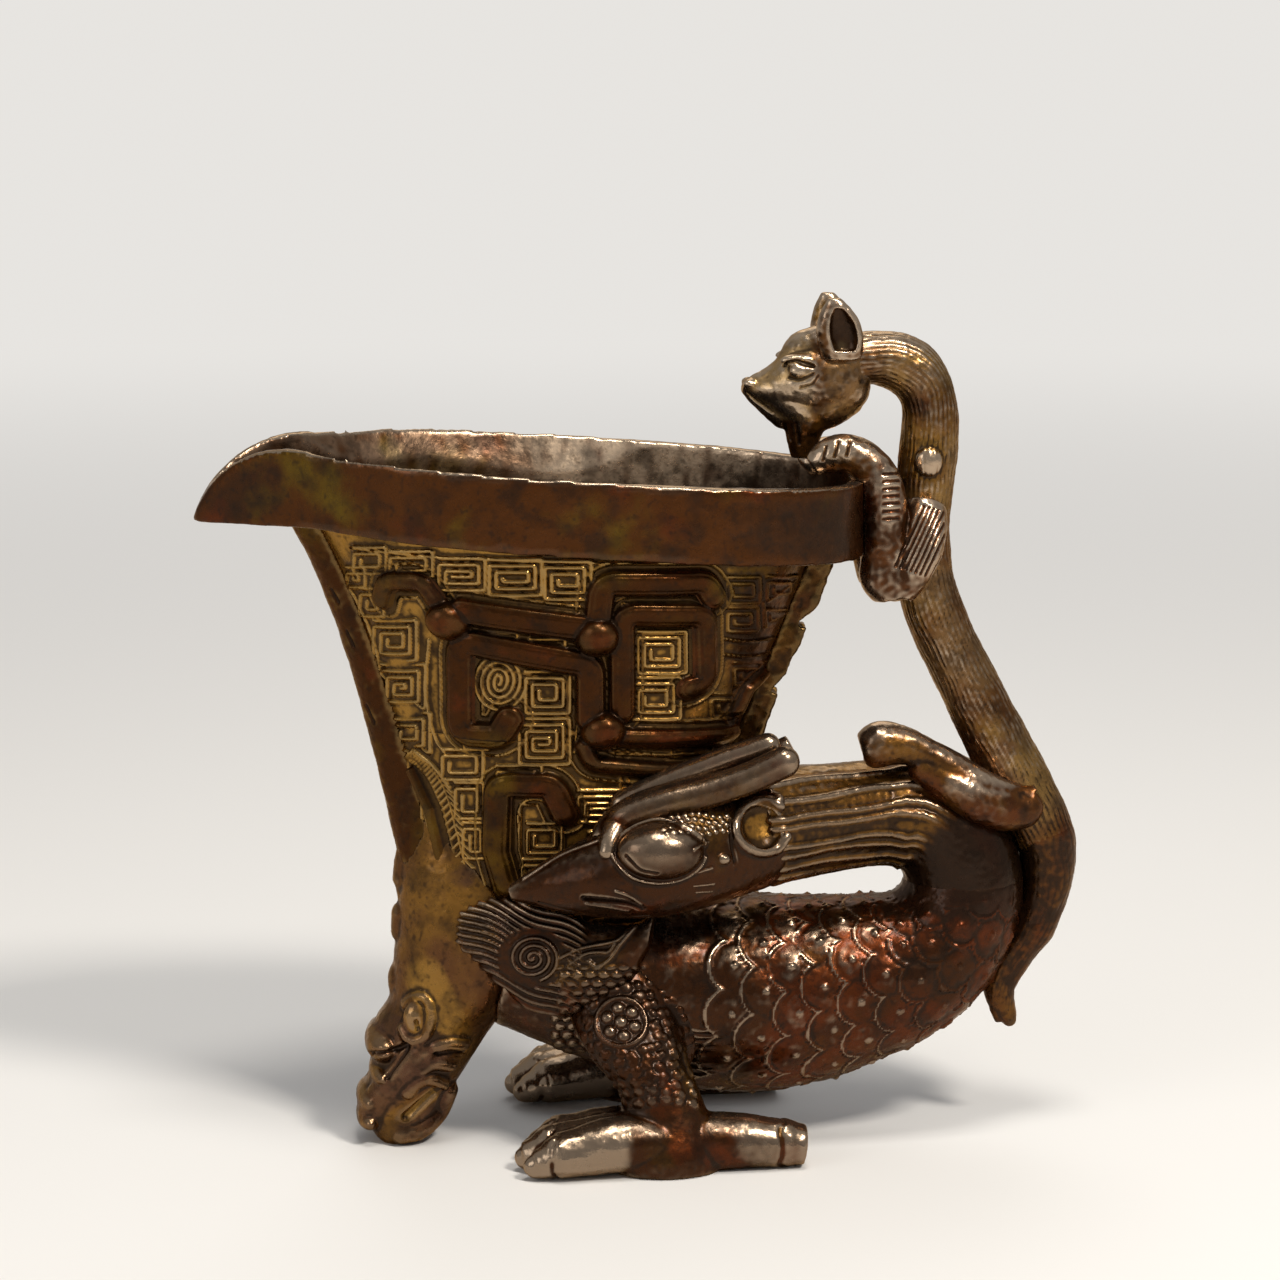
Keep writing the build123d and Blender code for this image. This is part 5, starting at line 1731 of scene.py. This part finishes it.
# A painted highlight on the muzzle, and a darker beard.
bench.shade = -0.9 * picture_spot(u, v, MUZZLE_HIGHLIGHT, 50, 24) + 0.5 * between(v, *DARK_BEARD_V)
for width, depth, pixels in BEAST_GROOVES.values():
    bench.line(bench.lay(pixels), width, depth, both=True)
bench.finish("dark_bronze", "beast_head")

# %% [markdown]
# ## The beast's ears
#
# The imported ears are hollow already. The upper part of the hollow gets painted shade, with a touch of golden
# dust at its foot, where a polishing cloth does not reach.

# %% Beast's ears
EAR_SHADE = (842, 329)
EAR_GOLD = (841, 347)

for side in ("near", "far"):
    bench = Casting(melt(f"beast_ear_{side}_cast", node_form(f"beast_ear_{side}"), HEAD_GRAIN, 3))
    u, v = near_places(bench.points)
    # Painted shade in the upper part of the ear's hollow.
    bench.shade = 1.2 * picture_spot(u, v, EAR_SHADE, 15, 20) ** 0.5
    bench.ground = picture_spot(u, v, EAR_GOLD, 10, 10)
    bench.shade *= 1 - bench.ground
    bench.finish("dark_bronze", f"beast_ear_{side}")

# %% [markdown]
# ## The beast's arms
#
# An arm hooks over the lip. Its shoulder is hatched, the forearm is notched, and three cuts part the claws.
# All are grooves drawn on the near arm. The same lines, mirrored, cut the far one. A roll of wax fills the
# crook of the elbow.

# %% Beast's arms
LIMB_GRAIN = 0.28
ELBOW_FILL = ((897, 590), (897, 575), (890, 560), (890, 540), (912, 575), (914, 555))
ELBOW_RADIUS = 2.6
NOTCHES = 7
NOTCHES_FROM = (884, 474)
NOTCH_PITCH = 7.5
HATCHES = 8
HATCHES_FROM = (910, 536)
HATCH_STEP = (5, 1.5)
HATCH_HALF = (14, 30)
CLAW_CUTS = ((826, 446), (838, 442), (850, 441))
ARM_STROKE = 0.8

arm_forms = {side: node_form(f"beast_arm_{side}") for side in ("near", "far")}
probe_tree = BVHTree.FromBMesh(arm_forms["near"])
webs = [on(probe_tree, pixel) for pixel in ELBOW_FILL]
webs = [web + Vector((0, ELBOW_RADIUS, 0)) for web in webs if web is not None]
add_roll(arm_forms["near"], webs, ELBOW_RADIUS, ELBOW_RADIUS)
add_roll(arm_forms["far"], [web * MIRROR for web in webs], ELBOW_RADIUS, ELBOW_RADIUS)
arms = {side: Casting(melt(f"beast_arm_{side}_cast", form, LIMB_GRAIN)) for side, form in arm_forms.items()}

arm_strokes = []
for step in range(NOTCHES):
    x, y = NOTCHES_FROM[0], NOTCHES_FROM[1] + NOTCH_PITCH * step
    arm_strokes.append((-0.28, ((x, y), (x + 15, y - 1))))
for step in range(HATCHES):
    x, y = HATCHES_FROM[0] + HATCH_STEP[0] * step, HATCHES_FROM[1] + HATCH_STEP[1] * step
    ends = ((x + HATCH_HALF[0], y - HATCH_HALF[1]), (x - HATCH_HALF[0], y + HATCH_HALF[1]))
    arm_strokes.append((-0.35, ends))
arm_strokes += [(-0.4, ((x, y), (x - 3, y + 14))) for x, y in CLAW_CUTS]
for depth, pixels in arm_strokes:
    stroke = arms["near"].lay(pixels)
    arms["near"].line(stroke, ARM_STROKE, depth)
    arms["far"].line(stroke * FAR_SIDE, ARM_STROKE, depth)
for side, bench in arms.items():
    bench.ground -= 0.6
    bench.finish("dark_bronze", f"beast_arm_{side}")

# %% [markdown]
# ## The beast's hind legs
#
# The hind legs lie along the bird's neck. A roll of wax from paw to hip rounds the thigh. It sits under the
# surface that the line of sight meets, so that it fills the leg and does not stand on it. The top of the
# thigh is lightened, as wear and as a painted highlight.

# %% Beast's hind legs
THIGH_ROLL = ((926, 768, 3.1), (952, 784, 3.6), (978, 799, 4.1), (1004, 807, 4.1), (1023, 808, 3.5))
THIGH_Y = -6.2
THIGH_DEPTH = 0.7
THIGH_WEAR_AND_HIGHLIGHT = (978, 784)
RED_HIP_U = (1006, 1026)
PAW_U = (950, 930)
PAW_V = (752, 764)

leg_forms = {side: node_form(f"beast_hind_leg_{side}") for side in ("near", "far")}
probe_tree = BVHTree.FromBMesh(leg_forms["near"])
for x, y, radius in curve(THIGH_ROLL, 12):
    place = on(probe_tree, (x, y)) or across((x, y), THIGH_Y)
    place = place + photo_ray((x, y)) * THIGH_DEPTH * radius
    add_lump(leg_forms["near"], place, [radius] * 3)
    add_lump(leg_forms["far"], place * MIRROR, [radius] * 3)
for side, form in leg_forms.items():
    bench = Casting(melt(f"beast_hind_leg_{side}_cast", form, LIMB_GRAIN, 8))
    bench.wear *= 0.5
    u, v = near_places(bench.points)
    hip = between(u, *RED_HIP_U)
    bench.ground -= 0.5 + 0.5 * hip
    # The top of the thigh is lightened: wear and a painted highlight. The hip and the paw are darker.
    bench.shade = 0.55 * hip - 0.42 * picture_spot(u, v, THIGH_WEAR_AND_HIGHLIGHT, 56, 20)
    bench.shade += 0.4 * between(u, *PAW_U) * between(v, *PAW_V)
    bench.finish("dark_bronze", f"beast_hind_leg_{side}")

# %% [markdown]
# ## What stays as packed
#
# The wall of the cup shows on the inside, and the dowels sit hidden in their holes. They keep their packed
# meshes and get the bronze of their slot.

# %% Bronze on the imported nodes
packed = {"cup_wall": "patterned_bronze"}
packed.update({name: "dowel_bronze" for name in nodes if "_dowel" in name})
for name, slot in packed.items():
    nodes[name].data.materials.clear()
    nodes[name].data.materials.append(finishes[slot])
print("packed meshes with bronze:", len(packed))
